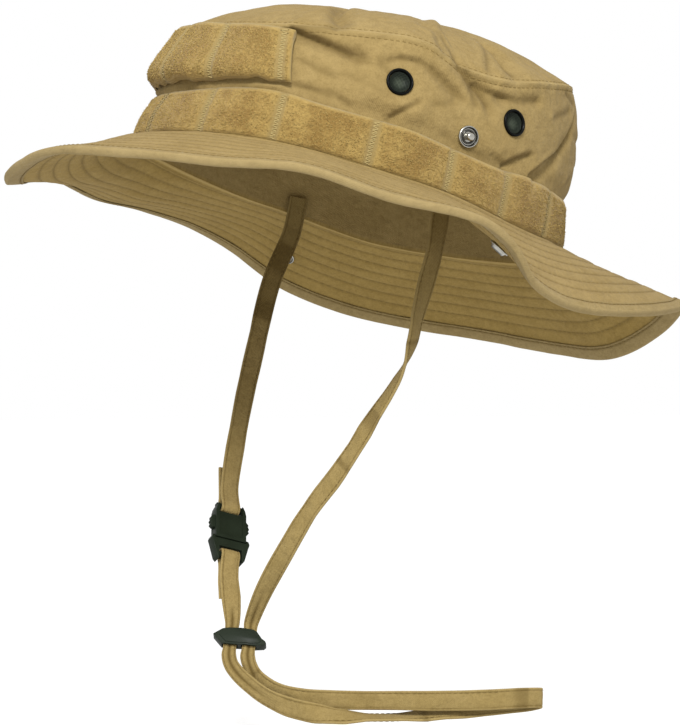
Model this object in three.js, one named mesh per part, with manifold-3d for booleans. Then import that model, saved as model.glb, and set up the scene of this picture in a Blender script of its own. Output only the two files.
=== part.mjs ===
// Bush hat with a chin strap, in millimetres. +Z is up, -Y is the front, +X is the wearer's left.
// The origin is the centre of the opening that the head goes into. The hat is worn tipped back, so its
// own group is pitched about X, and the strap hangs plumb below it.
import * as THREE from "three";
import { mergeVertices } from "three/addons/utils/BufferGeometryUtils.js";
import Module from "manifold-3d";

const wasm = await Module();
wasm.setup();

// ---------------------------------------------------------------- driving dimensions
const PITCH = 15.8; // degrees that the front of the hat is raised
const HEAD = { halfLength: 100, halfWidth: 84 }; // outside of the crown cloth at its foot
const CLOTH = 1.6; // crown wall and top panel
const GAP = 0.3; // between neighbouring pieces
// The top panel: height over the foot, rise to the back, rounding, and where the folds show from, inwards.
const TOP = { middle: 83, tilt: 4, roundness: 2.8, foldsFrom: 8 };
const BRIM = { width: 62, thick: 1.5, steps: 24, level: 5.5 }; // it leaves the crown level, then bends
const BINDING = { onTop: 5, underneath: 6.8, thick: 0.6, slack: 0.2 };
const BAND = { low: 0.8, high: 22, thick: 1.8, puff: 0.7 };
// Tacks of the band, unevenly spaced: length to each from the front, the same on both sides.
const TACKS = [0, 38, 73, 115, 152, 183, 217, 253, 289.6].map((at, tack) => ({ at, tack }));
const PATCH = { halfLength: 75, topTrim: 6, tackStep: 35, thick: 1.8, puff: 1.5, clear: 1.2, steps: 16 };
const PATCH_EDGES = { low: 25.2, lowRise: 1.8, high: 51.5, highRise: 1.2 }; // heights, and rise at the ends
const VENT = { height: 41, angles: [76, 110.5], flange: 6.1, bore: 4.7, hole: 5.2 };
const SNAP = { angle: 97.5, height: 29, flange: 4.9, post: 1.7, hole: 2.1 };
const SOCKET = { angle: 101, reach: 40, flange: 5, hole: 2.1 };
const TAPE = { width: 9, thick: 1.4, step: 14, turn: 40 }; // ring spacing in mm, and in degrees of turn
const BUCKLE = { width: 15, thick: 5.6, sunk: 0.5, bar: 2.4, slotWidth: 11.4, bodyBar: 13.4, plugBar: -12 };
const ARM = { thick: 2.6, room: 1.6 }; // the plug's sprung arms, and half the cavity that takes them
const SLIDER = { depth: 5.6, panel: 0.78, raised: 0.4, hole: [7, 3.2], holeAt: 4.2 };
const ROUND = 10; // sides of the small round fittings

// Height of the top seam over the foot, how far it stands in, how late the wall curls in to it (1 is
// straight), the swell halfway up, how far the foot line and the band's top line wander up, and how hard
// the band's top draws the cloth in, by angle round the crown: 0 at the front and 180 at the back. The
// right side mirrors the left.
const CROWN = [
  { at: 0, seam: 51.5, leanIn: 8.5, curl: 1.6, swell: 3.5, foot: -2.2, bandTop: -3, pinch: 6 },
  { at: 15, seam: 51.5, leanIn: 8.5, curl: 1.6, swell: 3.5, foot: -1.8, bandTop: -2.5, pinch: 6 },
  { at: 30, seam: 52.5, leanIn: 7.5, curl: 1.6, swell: 3, foot: -0.6, bandTop: 0, pinch: 4 },
  { at: 46, seam: 55, leanIn: 5.5, curl: 1.6, swell: 1.5, foot: 0.8, bandTop: 2, pinch: 2 },
  { at: 60, seam: 57.5, leanIn: 4.5, curl: 1.6, swell: 1, foot: 0.8, bandTop: 0.3, pinch: 1.6 },
  { at: 80, seam: 61.5, leanIn: 5, curl: 1.6, swell: 1.5, foot: 0, bandTop: 0, pinch: 1.6 },
  { at: 94, seam: 56.5, leanIn: 6, curl: 1.6, swell: 1, foot: -0.2, bandTop: -1.8, pinch: 1.6 },
  { at: 106, seam: 57.5, leanIn: 4.5, curl: 1.6, swell: 1.5, foot: -1.8, bandTop: -3, pinch: 1.6 },
  { at: 120, seam: 64, leanIn: 5, curl: 2, swell: 1.5, foot: -3, bandTop: -1.2, pinch: 1.6 },
  { at: 140, seam: 71.5, leanIn: 9, curl: 3.2, swell: -0.3, foot: -1.6, bandTop: -1.2, pinch: 1.6 },
  { at: 160, seam: 76, leanIn: 12.5, curl: 4, swell: -1, foot: -0.4, bandTop: -1, pinch: 2.5 },
  { at: 180, seam: 76, leanIn: 12.5, curl: 4, swell: -1, foot: 0, bandTop: -1, pinch: 2.5 },
];

// How far the brim's edge lies below its root, how late it bends down (1 is straight), and how far the
// middle sags under that line, by angle all the way round.
const BRIM_FORM = [
  { at: 0, drop: 32, late: 1.35, sag: 4 },
  { at: 11, drop: 28, late: 1.25, sag: 2 },
  { at: 23, drop: 25.5, late: 1.15, sag: 1 },
  { at: 34, drop: 24, late: 1.1, sag: 0 },
  { at: 46, drop: 22, late: 1.1, sag: 0 },
  { at: 60, drop: 16.5, late: 1.2, sag: 0 },
  { at: 74, drop: 18.5, late: 1.1, sag: 0 },
  { at: 90, drop: 16, late: 1, sag: 1 },
  { at: 97, drop: 21, late: 1, sag: 3 },
  { at: 105, drop: 33, late: 1.1, sag: 1 },
  { at: 118, drop: 35, late: 1.1, sag: 0 },
  { at: 135, drop: 25, late: 1.2, sag: 0 },
  { at: 148, drop: 15, late: 1.3, sag: 0 },
  { at: 157, drop: 9.5, late: 1.3, sag: 0 },
  { at: 168, drop: 18, late: 1.3, sag: 0 },
  { at: 182, drop: 31, late: 1.2, sag: 0 },
  { at: 198, drop: 31, late: 1.1, sag: 0 },
  { at: 216, drop: 30, late: 1.1, sag: 0 },
  { at: 240, drop: 33, late: 1.1, sag: 0 },
  { at: 256, drop: 29, late: 1.1, sag: 0 },
  { at: 270, drop: 16, late: 1.1, sag: 1 },
  { at: 287, drop: 12.5, late: 1, sag: 3.5 },
  { at: 300, drop: 16.5, late: 0.95, sag: 6 },
  { at: 312, drop: 16.5, late: 1.05, sag: 8.5 },
  { at: 327, drop: 24.5, late: 1.15, sag: 9 },
  { at: 340, drop: 33.5, late: 1.35, sag: 7.5 },
  { at: 350, drop: 34.5, late: 1.4, sag: 6 },
];

// Folds of the crown, each a soft groove (in) or ridge (a negative in) from one place to another by angle
// and height. Past the seam the height goes on across the top panel.
const FOLDS = [
  { angle: 46, height: 51, toAngle: 64, toHeight: 47, width: 3.6, in: 3.6 },
  { angle: 57, height: 60, toAngle: 40, toHeight: 101, width: 4.5, in: 4 },
  { angle: 84, height: 74, toAngle: 95, toHeight: 106, width: 6, in: -2.5 },
  { angle: 72, height: 49, toAngle: 81, toHeight: 52.5, width: 3.2, in: 1.5 },
  { angle: 70, height: 33, toAngle: 82, toHeight: 31, width: 5, in: -1.5 },
  { angle: 84, height: 50, toAngle: 92, toHeight: 43, width: 3.2, in: 1.8 },
  { angle: 82, height: 84, toAngle: 87, toHeight: 60, width: 4, in: 2 },
  { angle: 91, height: 58, toAngle: 103, toHeight: 43, width: 3.5, in: 2.6 },
  { angle: 98, height: 51, toAngle: 106, toHeight: 48, width: 3, in: 1.8 },
  { angle: 106, height: 49, toAngle: 119, toHeight: 55, width: 3.2, in: 1.9 },
  { angle: 111, height: 23, toAngle: 119, toHeight: 31, width: 3, in: 1.6 },
  { angle: 123, height: 22, toAngle: 142, toHeight: 50, width: 2.8, in: 2.4 },
  { angle: 112, height: 84, toAngle: 110, toHeight: 62, width: 4, in: 2.4 },
  { angle: 76, height: 24, toAngle: 81, toHeight: 34, width: 2.6, in: 1.2 },
];

// Columns round the hat: close over the folded sides, wide at the front and back.
const COLUMNS = [];
for (const { from, to, step } of [
  { from: 0, to: 40, step: 10 },
  { from: 40, to: 140, step: 4 },
  { from: 140, to: 230, step: 10 },
  { from: 230, to: 280, step: 6.25 },
  { from: 280, to: 340, step: 4 },
  { from: 340, to: 360, step: 10 },
])
  for (let angle = from; angle < to; angle += step) COLUMNS.push(angle);

// Rows of the wall: heights behind the band, then shares of what is left up to the seam.
const WALL_LOW = [0, BAND.high / 2, BAND.high + 0.3];
const WALL_HIGH = [0.2, 0.42, 0.64, 0.84, 1];
const TOP_ROWS = [0, 0.08, 0.19, 0.38, 0.66]; // shares of the way in from the seam
const underShare = 1 - BINDING.underneath / BRIM.width;
const topShare = 1 - BINDING.onTop / BRIM.width;
const BRIM_ROWS = [0, 0.2, 0.42, 0.64, underShare, topShare, 1]; // shares of the way out from the root

// ---------------------------------------------------------------- materials
function finish(color, roughness, metalness = 0) {
  return new THREE.MeshStandardMaterial({ color, roughness, metalness });
}
const cloth = finish(0xb29b67, 0.85);
const fuzzyTape = finish(0xb8964f, 0.95);
const strapTape = finish(0xb09658, 0.85);
const darkPlastic = finish(0x20261f, 0.45);
const ventPaint = finish(0x161a17, 0.4, 0.3);
const nickel = finish(0xb5b3aa, 0.3, 0.9);

// ---------------------------------------------------------------- tables and curves
const radians = THREE.MathUtils.degToRad;

// One column of a table at a place between its rows, on a smooth curve through them. With a period the
// table closes on itself; without one it is level at both ends.
function read(rows, place, column, period = 0) {
  const count = rows.length;
  const row = (i) => rows[period ? (i + count) % count : Math.min(count - 1, Math.max(0, i))];
  const where = (i) => row(i).at + (period ? Math.floor(i / count) * period : 0);
  let i = 0;
  while (i < count - (period ? 1 : 2) && where(i + 1) <= place) i++;
  const slope = (k) => {
    const run = where(k + 1) - where(k - 1);
    const inside = period || (k > 0 && k < count - 1);
    return inside ? (row(k + 1)[column] - row(k - 1)[column]) / run : 0;
  };
  const span = where(i + 1) - where(i);
  const s = (place - where(i)) / span;
  const [s2, s3] = [s * s, s * s * s];
  return (
    (2 * s3 - 3 * s2 + 1) * row(i)[column] +
    (s3 - 2 * s2 + s) * span * slope(i) +
    (3 * s2 - 2 * s3) * row(i + 1)[column] +
    (s3 - s2) * span * slope(i + 1)
  );
}

const mirrored = (angle) => (angle > 180 ? 360 - angle : angle);
const crown = (angle, column) => read(CROWN, mirrored(angle), column);

// A point of the foot line of the crown, moved outwards and up in the hat's own frame.
function footPoint(angle, out = 0, up = 0) {
  const a = radians(angle);
  const point = new THREE.Vector3(HEAD.halfWidth * Math.sin(a), -HEAD.halfLength * Math.cos(a), up);
  return point.addScaledVector(outward(angle), out);
}

function outward(angle) {
  const a = radians(angle);
  const direction = new THREE.Vector3(HEAD.halfLength * Math.sin(a), -HEAD.halfWidth * Math.cos(a), 0);
  return direction.normalize();
}

// Length along the foot line for each degree of angle.
function perDegree(angle) {
  const a = radians(angle);
  return radians(1) * Math.hypot(HEAD.halfWidth * Math.cos(a), HEAD.halfLength * Math.sin(a));
}

// The angle at a length along the foot line from the front, to the left where it is positive.
function angleAtLength(length) {
  let angle = 0;
  const step = 0.1;
  for (let gone = 0; gone < Math.abs(length); angle += step) gone += step * perDegree(angle);
  return Math.sign(length) * angle;
}

const footLength = 2 * (() => {
  let sum = 0;
  for (let angle = 0.5; angle < 180; angle++) sum += perDegree(angle);
  return sum;
})();

// ---------------------------------------------------------------- the crown's surface
function foldSum(side, height) {
  let depth = 0;
  for (const fold of FOLDS) {
    const scale = perDegree((fold.angle + fold.toAngle) / 2);
    const run = new THREE.Vector2((fold.toAngle - fold.angle) * scale, fold.toHeight - fold.height);
    const here = new THREE.Vector2((side - fold.angle) * scale, height - fold.height);
    const share = THREE.MathUtils.clamp(here.dot(run) / run.lengthSq(), 0, 1);
    const away = here.distanceTo(run.multiplyScalar(share));
    depth += fold.in * Math.exp(-((away / fold.width) ** 2));
  }
  return depth;
}

// A fitting presses the cloth flat round it: there the folds give way to one plane.
const PRESSED_FLAT = 9;
const FITTED = [...VENT.angles.map((angle) => ({ angle, height: VENT.height })), SNAP];
const PRESSED = FITTED.map(({ angle, height }) => ({
  angle,
  height,
  depth: foldSum(angle, height),
  perAngle: (foldSum(angle + 1, height) - foldSum(angle - 1, height)) / 2,
  perHeight: (foldSum(angle, height + 1) - foldSum(angle, height - 1)) / 2,
}));

function foldDepth(angle, height) {
  const side = mirrored(angle);
  let depth = foldSum(side, height);
  for (const spot of PRESSED) {
    const [across, up] = [side - spot.angle, height - spot.height];
    const distance = Math.hypot(across * perDegree(spot.angle), up);
    const plane = spot.depth + across * spot.perAngle + up * spot.perHeight;
    depth += (plane - depth) * Math.exp(-((distance / PRESSED_FLAT) ** 4));
  }
  return depth;
}

// How far the crown cloth's outside stands out from the foot line.
function crownOut(angle, height) {
  const share = height / crown(angle, "seam");
  const lean = crown(angle, "leanIn") * share ** crown(angle, "curl");
  const swell = crown(angle, "swell") * Math.sin(Math.PI * Math.min(1, share)) ** 2;
  const waist = BAND.high + 1;
  const pinch = crown(angle, "pinch") * Math.exp(-(((height - waist) / (height < waist ? 11 : 5)) ** 2));
  return swell - lean - pinch - foldDepth(angle, height);
}

// A height moved with the wandering foot line and the band's top line.
function settled(angle, height) {
  const share = height / BAND.high;
  const above = Math.max(0, 1 - (height - BAND.high) / 18);
  const foot = crown(angle, "foot");
  const top = crown(angle, "bandTop");
  return height + (share < 1 ? foot + (top - foot) * share : top * above);
}

function crownPoint(angle, height, out = 0) {
  return footPoint(angle, crownOut(angle, height) + out, settled(angle, height));
}

// The crown's outward direction at a place, square to the cloth.
function crownNormal(angle, height) {
  const round = crownPoint(angle + 1, height).sub(crownPoint(angle - 1, height));
  const rise = crownPoint(angle, height + 1).sub(crownPoint(angle, height - 1));
  return round.cross(rise).normalize();
}

// ---------------------------------------------------------------- bodies from rows of points
// A closed body between two faces, each given as rows of points; `round` closes each row on itself, and
// `capped` closes the last row over its middle.
function layer(outer, inner, { round = true, capped = false } = {}) {
  const across = outer[0].length;
  const last = outer.length - 1;
  const points = [...outer.flat(), ...inner.flat()];
  const index = [];
  const out = (i, j) => j * across + (i % across);
  const inn = (i, j) => out(i, j) + outer.length * across;
  const quad = (a, b, c, d) => index.push(a, b, c, a, c, d);
  for (let i = 0; i < (round ? across : across - 1); i++) {
    for (let j = 0; j < last; j++) {
      quad(out(i, j), out(i + 1, j), out(i + 1, j + 1), out(i, j + 1));
      quad(inn(i, j), inn(i, j + 1), inn(i + 1, j + 1), inn(i + 1, j));
    }
    quad(inn(i, 0), inn(i + 1, 0), out(i + 1, 0), out(i, 0));
    if (!capped) quad(out(i, last), out(i + 1, last), inn(i + 1, last), inn(i, last));
  }
  if (capped) {
    for (const [row, face] of [[outer[last], out], [inner[last], inn]]) {
      const middle = row.reduce((sum, p) => sum.add(p), new THREE.Vector3()).divideScalar(across);
      points.push(middle);
      for (let i = 0; i < across; i++) {
        const [a, b] = face === out ? [i, i + 1] : [i + 1, i];
        index.push(face(a, last), face(b, last), points.length - 1);
      }
    }
  }
  if (!round)
    for (let j = 0; j < last; j++) {
      quad(out(0, j), out(0, j + 1), inn(0, j + 1), inn(0, j));
      const end = across - 1;
      quad(inn(end, j), inn(end, j + 1), out(end, j + 1), out(end, j));
    }
  return shape(points, index);
}

// A closed body through rings of points, closed on itself or with flat ends.
function loft(rings, closed = false) {
  const sides = rings[0].length;
  const index = [];
  const at = (i, k) => (i % rings.length) * sides + (k % sides);
  for (let i = 0; i < (closed ? rings.length : rings.length - 1); i++)
    for (let k = 0; k < sides; k++) {
      index.push(at(i, k), at(i, k + 1), at(i + 1, k + 1));
      index.push(at(i, k), at(i + 1, k + 1), at(i + 1, k));
    }
  if (!closed)
    for (let k = 1; k < sides - 1; k++) {
      index.push(at(0, 0), at(0, k + 1), at(0, k));
      index.push(at(rings.length - 1, 0), at(rings.length - 1, k), at(rings.length - 1, k + 1));
    }
  return shape(rings.flat(), index);
}

function shape(points, index) {
  const geometry = new THREE.BufferGeometry().setFromPoints(points);
  geometry.setIndex(index);
  geometry.computeVertexNormals();
  return geometry;
}

function solid(geometry, matrix = new THREE.Matrix4()) {
  const bare = geometry.clone().applyMatrix4(matrix);
  bare.deleteAttribute("normal");
  bare.deleteAttribute("uv");
  const merged = mergeVertices(bare, 1e-4);
  const vertProperties = merged.attributes.position.array;
  return new wasm.Manifold(
    new wasm.Mesh({ numProp: 3, vertProperties, triVerts: new Uint32Array(merged.index.array) }),
  );
}

function geometryOf(body) {
  const { vertProperties, triVerts } = body.getMesh();
  const geometry = new THREE.BufferGeometry();
  geometry.setAttribute("position", new THREE.BufferAttribute(new Float32Array(vertProperties), 3));
  geometry.setIndex(new THREE.BufferAttribute(new Uint32Array(triVerts), 1));
  geometry.computeVertexNormals();
  return geometry;
}

function box([x0, x1], [y0, y1], [z0, z1]) {
  const block = new THREE.BoxGeometry(x1 - x0, y1 - y0, z1 - z0);
  return solid(block.translate((x0 + x1) / 2, (y0 + y1) / 2, (z0 + z1) / 2));
}

// A flat outline made thick about its own plane.
function plate(outline, thick) {
  const face = new THREE.Shape(outline.map(([x, y]) => new THREE.Vector2(x, y)));
  const body = new THREE.ExtrudeGeometry(face, { depth: thick, bevelEnabled: false });
  return solid(body.translate(0, 0, -thick / 2));
}

function turned(profile) {
  const points = profile.map(([radius, height]) => new THREE.Vector2(radius, height));
  return new THREE.LatheGeometry(points, ROUND).rotateX(Math.PI / 2);
}

const hat = new THREE.Group();
hat.rotation.x = -radians(PITCH);
const chin = new THREE.Group();

function add(group, name, geometry, material, place) {
  const mesh = new THREE.Mesh(geometry, material);
  mesh.name = name;
  if (place) mesh.applyMatrix4(place);
  group.add(mesh);
}

// A frame whose Z is `up` at a point, with X as near as it can be to `along`.
function frameAt(point, up, along) {
  const z = up.clone().normalize();
  const y = z.clone().cross(along).normalize();
  return new THREE.Matrix4().makeBasis(y.clone().cross(z), y, z).setPosition(point);
}

// ---------------------------------------------------------------- small round fittings
// Half the thickness that the cloth is pressed to where a fitting grips it, and the depth of its seat.
const GRIP = 0.5;
const SEAT_DEPTH = 6;

// What is cut from the cloth for a fitting with a flange on each side and a neck through it.
function seatCutter(flange, hole) {
  const r = flange + GAP;
  const deep = SEAT_DEPTH;
  return turned([
    [0, -deep], [r, -deep], [r, -GRIP], [hole, -GRIP], [hole, GRIP], [r, GRIP], [r, deep], [0, deep],
  ]);
}

function ventRing() {
  const { flange, bore } = VENT;
  const low = GRIP + GAP;
  const neck = VENT.hole - GAP;
  return turned([
    [bore, -low - 0.8], [flange, -low - 0.8], [flange, -low], [neck, -low], [neck, low], [flange, low],
    [flange - 0.2, low + 0.7], [flange - 1, low + 1], [bore, low + 0.5], [bore, -low - 0.8],
  ]);
}

function ventScreen() {
  const r = VENT.bore - GAP;
  return turned([[0, -1], [r * 0.6, -0.7], [r, 0.3], [r, 0.9], [r * 0.6, -0.1], [0, -0.4]]);
}

function snapStud() {
  const low = GRIP + GAP;
  const { flange, post } = SNAP;
  return turned([
    [0, -low - 0.8], [flange - 0.5, -low - 0.8], [flange - 0.5, -low], [post, -low], [post, low],
    [flange, low], [flange, low + 0.7], [flange - 0.8, low + 1], [flange - 1.6, low + 0.5],
    [1.6, low + 0.5], [1.4, low + 1.6], [1.9, low + 2.4], [1.2, low + 3.2], [0, low + 3.4],
  ]);
}

// The socket opens downwards, and its cap lies on top of the brim.
function snapSocket(grip) {
  const low = grip + GAP;
  const { flange } = SOCKET;
  const post = SOCKET.hole - GAP;
  return turned([
    [0, -low - 0.6], [2.2, -low - 0.6], [2.2, -low - 2], [3.4, -low - 2.2], [flange - 0.4, -low - 1.2],
    [flange - 0.4, -low], [post, -low], [post, low], [flange, low], [flange - 0.4, low + 0.6],
    [flange - 2, low + 1], [0, low + 1.2],
  ]);
}

// ---------------------------------------------------------------- crown
const UP = new THREE.Vector3(0, 0, 1);
const ventPlaces = [];
for (const [side, sign] of [["left", 1], ["right", -1]])
  VENT.angles.forEach((angle, i) => {
    ventPlaces.push({ name: side + (i ? "_back" : "_front"), angle: sign > 0 ? angle : 360 - angle });
  });
const snapPlaces = [
  { name: "left", sign: 1 },
  { name: "right", sign: -1 },
].map(({ name, sign }) => ({ name, angle: sign > 0 ? SNAP.angle : 360 - SNAP.angle, sign }));

function crownFrame(angle, height) {
  const normal = crownNormal(angle, height);
  const middle = crownPoint(angle, height).addScaledVector(normal, -CLOTH / 2);
  return frameAt(middle, normal, UP);
}

function wallRow(heightOf, out) {
  return COLUMNS.map((angle) => crownPoint(angle, heightOf(angle), out));
}

const wallHeights = [
  ...WALL_LOW.map((height) => () => height),
  ...WALL_HIGH.map((share) => (angle) => {
    const low = WALL_LOW.at(-1);
    return low + share * (crown(angle, "seam") - low);
  }),
];

function crownWall() {
  const faces = [0, -CLOTH].map((out) => wallHeights.map((heightOf) => wallRow(heightOf, out)));
  let body = solid(layer(...faces));
  for (const { angle } of ventPlaces)
    body = body.subtract(solid(seatCutter(VENT.flange, VENT.hole), crownFrame(angle, VENT.height)));
  for (const { angle } of snapPlaces)
    body = body.subtract(solid(seatCutter(SNAP.flange, SNAP.hole), crownFrame(angle, SNAP.height)));
  return geometryOf(body);
}

// The top panel springs from the seam and rounds over to a nearly level middle.
function topPoint(angle, share) {
  const seam = crown(angle, "seam");
  const edge = crownPoint(angle, seam);
  const rise = 1 - (1 - share) ** TOP.roundness;
  const panel = TOP.middle + (TOP.tilt * edge.y) / HEAD.halfLength;
  const height = seam + GAP + (panel - seam) * rise;
  const point = new THREE.Vector3(edge.x * (1 - share), edge.y * (1 - share), height);
  const lying = Math.min(1, 4 * share) * (Math.PI / 2);
  const away = outward(angle).multiplyScalar(Math.cos(lying)).add(new THREE.Vector3(0, 0, Math.sin(lying)));
  const inwards = share * HEAD.halfWidth;
  const carried = Math.min(1, inwards / TOP.foldsFrom, 1.6 * (1 - share));
  return point.addScaledVector(away, -carried * foldSum(mirrored(angle), seam + inwards));
}

// Points moved square off a face of rows, towards its inside where the distance is negative.
function offset(rows, distance) {
  const across = rows[0].length;
  return rows.map((row, j) =>
    row.map((point, i) => {
      const round = row[(i + 1) % across].clone().sub(row[(i + across - 1) % across]);
      const rise = rows[Math.min(rows.length - 1, j + 1)][i].clone().sub(rows[Math.max(0, j - 1)][i]);
      return point.clone().addScaledVector(round.cross(rise).normalize(), distance);
    }),
  );
}

function crownTop() {
  const outer = TOP_ROWS.map((share) => COLUMNS.map((angle) => topPoint(angle, share)));
  const inner = offset(outer, -CLOTH);
  const rim = new THREE.Vector3(0, 0, GAP);
  inner[0] = COLUMNS.map((angle) => crownPoint(angle, crown(angle, "seam"), -CLOTH).add(rim));
  return layer(outer, inner, { capped: true });
}

// ---------------------------------------------------------------- band and front patch
// A tacked tape lies close at its tacks and stands off a little between them.
function standOff(length, step, puff) {
  return GAP + puff * Math.sin((Math.PI * length) / step) ** 2;
}

const lengthAt = (() => {
  const sums = [0];
  for (let angle = 0; angle < 360; angle++) sums.push(sums.at(-1) + perDegree(angle + 0.5));
  return (angle) => {
    const low = Math.floor(angle);
    return sums[low] + (sums[low + 1] - sums[low] || 0) * (angle - low);
  };
})();

function loopBand() {
  const heights = [BAND.low, BAND.high / 2, BAND.high];
  const faces = [BAND.thick, 0].map((thick) =>
    heights.map((height) =>
      COLUMNS.map((angle) => {
        const length = lengthAt(angle);
        const off = standOff(read(TACKS, Math.min(length, footLength - length), "tack"), 1, BAND.puff);
        return crownPoint(angle, height, off + thick);
      }),
    ),
  );
  return layer(...faces);
}

// Height of one of the patch's edges at a length from the front.
function patchEdge(height, rise, length) {
  return height + rise * Math.abs(length / PATCH.halfLength) ** 3;
}

function frontPatch() {
  const stations = [];
  for (let i = 0; i <= PATCH.steps; i++) stations.push(PATCH.halfLength * ((2 * i) / PATCH.steps - 1));
  const faces = [PATCH.thick, 0].map((thick) =>
    [0, 0.33, 0.67, 1].map((share) =>
      stations.map((length) => {
        const { low, lowRise, high, highRise } = PATCH_EDGES;
        const height = THREE.MathUtils.lerp(
          patchEdge(low, lowRise, length),
          patchEdge(high, highRise, length),
          share,
        );
        const off = standOff(length, PATCH.tackStep, PATCH.puff);
        const trimmed = length * (1 - (share * PATCH.topTrim) / PATCH.halfLength);
        return crownPoint((angleAtLength(trimmed) + 360) % 360, height, PATCH.clear + off + thick);
      }),
    ),
  );
  return layer(...faces, { round: false });
}

// ---------------------------------------------------------------- brim
// The brim's middle line at one angle: its reach from the foot line and its height, at even lengths.
function brimLine(angle) {
  const form = (column) => read(BRIM_FORM, angle, column, 360);
  const [drop, late, sag] = ["drop", "late", "sag"].map(form);
  const root = crown(angle, "foot") - GAP - BRIM.thick / 2;
  const height = (share) => {
    const bent = Math.max(0, share * BRIM.width - BRIM.level) / (BRIM.width - BRIM.level);
    return root * (1 - share) - drop * bent ** late - sag * Math.sin(Math.PI * bent);
  };
  const line = [{ reach: -CLOTH, height: height(0), slope: 0 }];
  const step = (BRIM.width + CLOTH) / BRIM.steps;
  for (let i = 1; i <= BRIM.steps; i++) {
    const fall = height(i / BRIM.steps) - height((i - 1) / BRIM.steps);
    const slope = Math.asin(THREE.MathUtils.clamp(fall / step, -0.95, 0.95));
    line.push({ reach: line[i - 1].reach + step * Math.cos(slope), height: height(i / BRIM.steps), slope });
  }
  return line;
}

// A point of the brim at a share of the way out, moved along it and square off it.
function brimPoint(angle, share, off, further = 0) {
  const line = brimLine(angle);
  const place = share * BRIM.steps;
  const i = Math.min(BRIM.steps - 1, Math.floor(place));
  const [a, b] = [line[i], line[i + 1]];
  const part = place - i;
  const mix = (column) => a[column] + (b[column] - a[column]) * part;
  const slope = share < 0.02 ? 0 : mix("slope");
  const reach = mix("reach") + further * Math.cos(slope) - off * Math.sin(slope);
  return footPoint(angle, reach, mix("height") + further * Math.sin(slope) + off * Math.cos(slope));
}

function brimFrame(angle, share) {
  const middle = brimPoint(angle, share, 0);
  const out = brimPoint(angle, share + 0.04, 0).sub(middle);
  const round = brimPoint(angle + 1, share, 0).sub(brimPoint(angle - 1, share, 0));
  return frameAt(middle, round.cross(out).negate(), UP);
}

const socketPlaces = snapPlaces.map(({ name, sign }) => ({
  name,
  place: brimFrame(sign > 0 ? SOCKET.angle : 360 - SOCKET.angle, SOCKET.reach / BRIM.width),
}));

function brim() {
  const rows = [...BRIM_ROWS].reverse();
  const faces = [BRIM.thick / 2, -BRIM.thick / 2].map((off) =>
    rows.map((share) => COLUMNS.map((angle) => brimPoint(angle, share, off))),
  );
  let body = solid(layer(...faces));
  for (const { place } of socketPlaces)
    body = body.subtract(solid(seatCutter(SOCKET.flange, SOCKET.hole), place));
  return geometryOf(body);
}

// The binding is folded over the brim's edge: short on top, longer underneath.
function brimBinding() {
  const { onTop, underneath, thick, slack } = BINDING;
  const near = BRIM.thick / 2 + GAP + slack;
  const far = near + thick;
  const section = [
    [-onTop, near], [-onTop, far], [GAP + thick, far], [GAP + thick, -far], [-underneath, -far],
    [-underneath, -near], [GAP, -near], [GAP, near],
  ];
  const rings = COLUMNS.map((angle) =>
    section.map(([further, off]) => {
      const share = Math.max(0, Math.min(1, 1 + further / BRIM.width));
      return brimPoint(angle, share, off, Math.max(0, further));
    }),
  );
  return loft(rings, true);
}

// ---------------------------------------------------------------- chin strap
// The fastened buckle: X across it, Y along it up to the wearer's right, and Z out of its front face.
const bucklePlace = frameOf([-24.1, -48.8, -152.5], [-0.52, 0.217, 0.826], [0.854, 0.117, 0.507]);
const sliderPlace = frameOf([0, -53.2, -198.2], [-0.406, 0.276, 0.871], [0.799, -0.356, 0.485]);

// A frame at a point with Y along one direction and Z as near as it can be to another.
function frameOf(point, along, facing) {
  const y = new THREE.Vector3(...along).normalize();
  const x = y.clone().cross(new THREE.Vector3(...facing)).normalize();
  return new THREE.Matrix4().makeBasis(x, y, x.clone().cross(y)).setPosition(...point);
}

// Stations of a tape: where its middle is, which way its width lies, and its width and thickness there.
function station(at, across, width = TAPE.width, thick = TAPE.thick) {
  return { at: new THREE.Vector3(...at), across: new THREE.Vector3(...across), width, thick };
}

function placed(frame, stations) {
  return stations.map(({ at, across, width, thick }) => ({
    at: at.applyMatrix4(frame),
    across: across.transformDirection(frame),
    width,
    thick,
  }));
}

// A tape through its stations, with rings closer together where it turns.
function ribbon(stations) {
  const path = new THREE.CatmullRomCurve3(stations.map(({ at }) => at), false, "centripetal");
  const spans = stations.length - 1;
  const rings = [];
  const ring = (i, share) => {
    const [a, b] = [stations[i], stations[Math.min(spans, i + 1)]];
    const along = path.getTangent((i + share) / spans);
    const across = a.across.clone().lerp(b.across, share);
    across.addScaledVector(along, -across.dot(along)).normalize();
    const facing = along.clone().cross(across);
    const middle = path.getPoint((i + share) / spans);
    const half = THREE.MathUtils.lerp(a.width, b.width, share) / 2;
    const deep = THREE.MathUtils.lerp(a.thick, b.thick, share) / 2;
    rings.push(
      [[1, 1], [-1, 1], [-1, -1], [1, -1]].map(([x, y]) =>
        middle.clone().addScaledVector(across, x * half).addScaledVector(facing, y * deep),
      ),
    );
  };
  for (let i = 0; i < spans; i++) {
    const length = stations[i].at.distanceTo(stations[i + 1].at);
    const turn = path.getTangent(i / spans).angleTo(path.getTangent((i + 1) / spans));
    const steps = Math.ceil(Math.max(length / TAPE.step, turn / radians(TAPE.turn)));
    for (let k = 0; k < steps; k++) ring(i, k / steps);
  }
  ring(spans, 0);
  return loft(rings);
}

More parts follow.
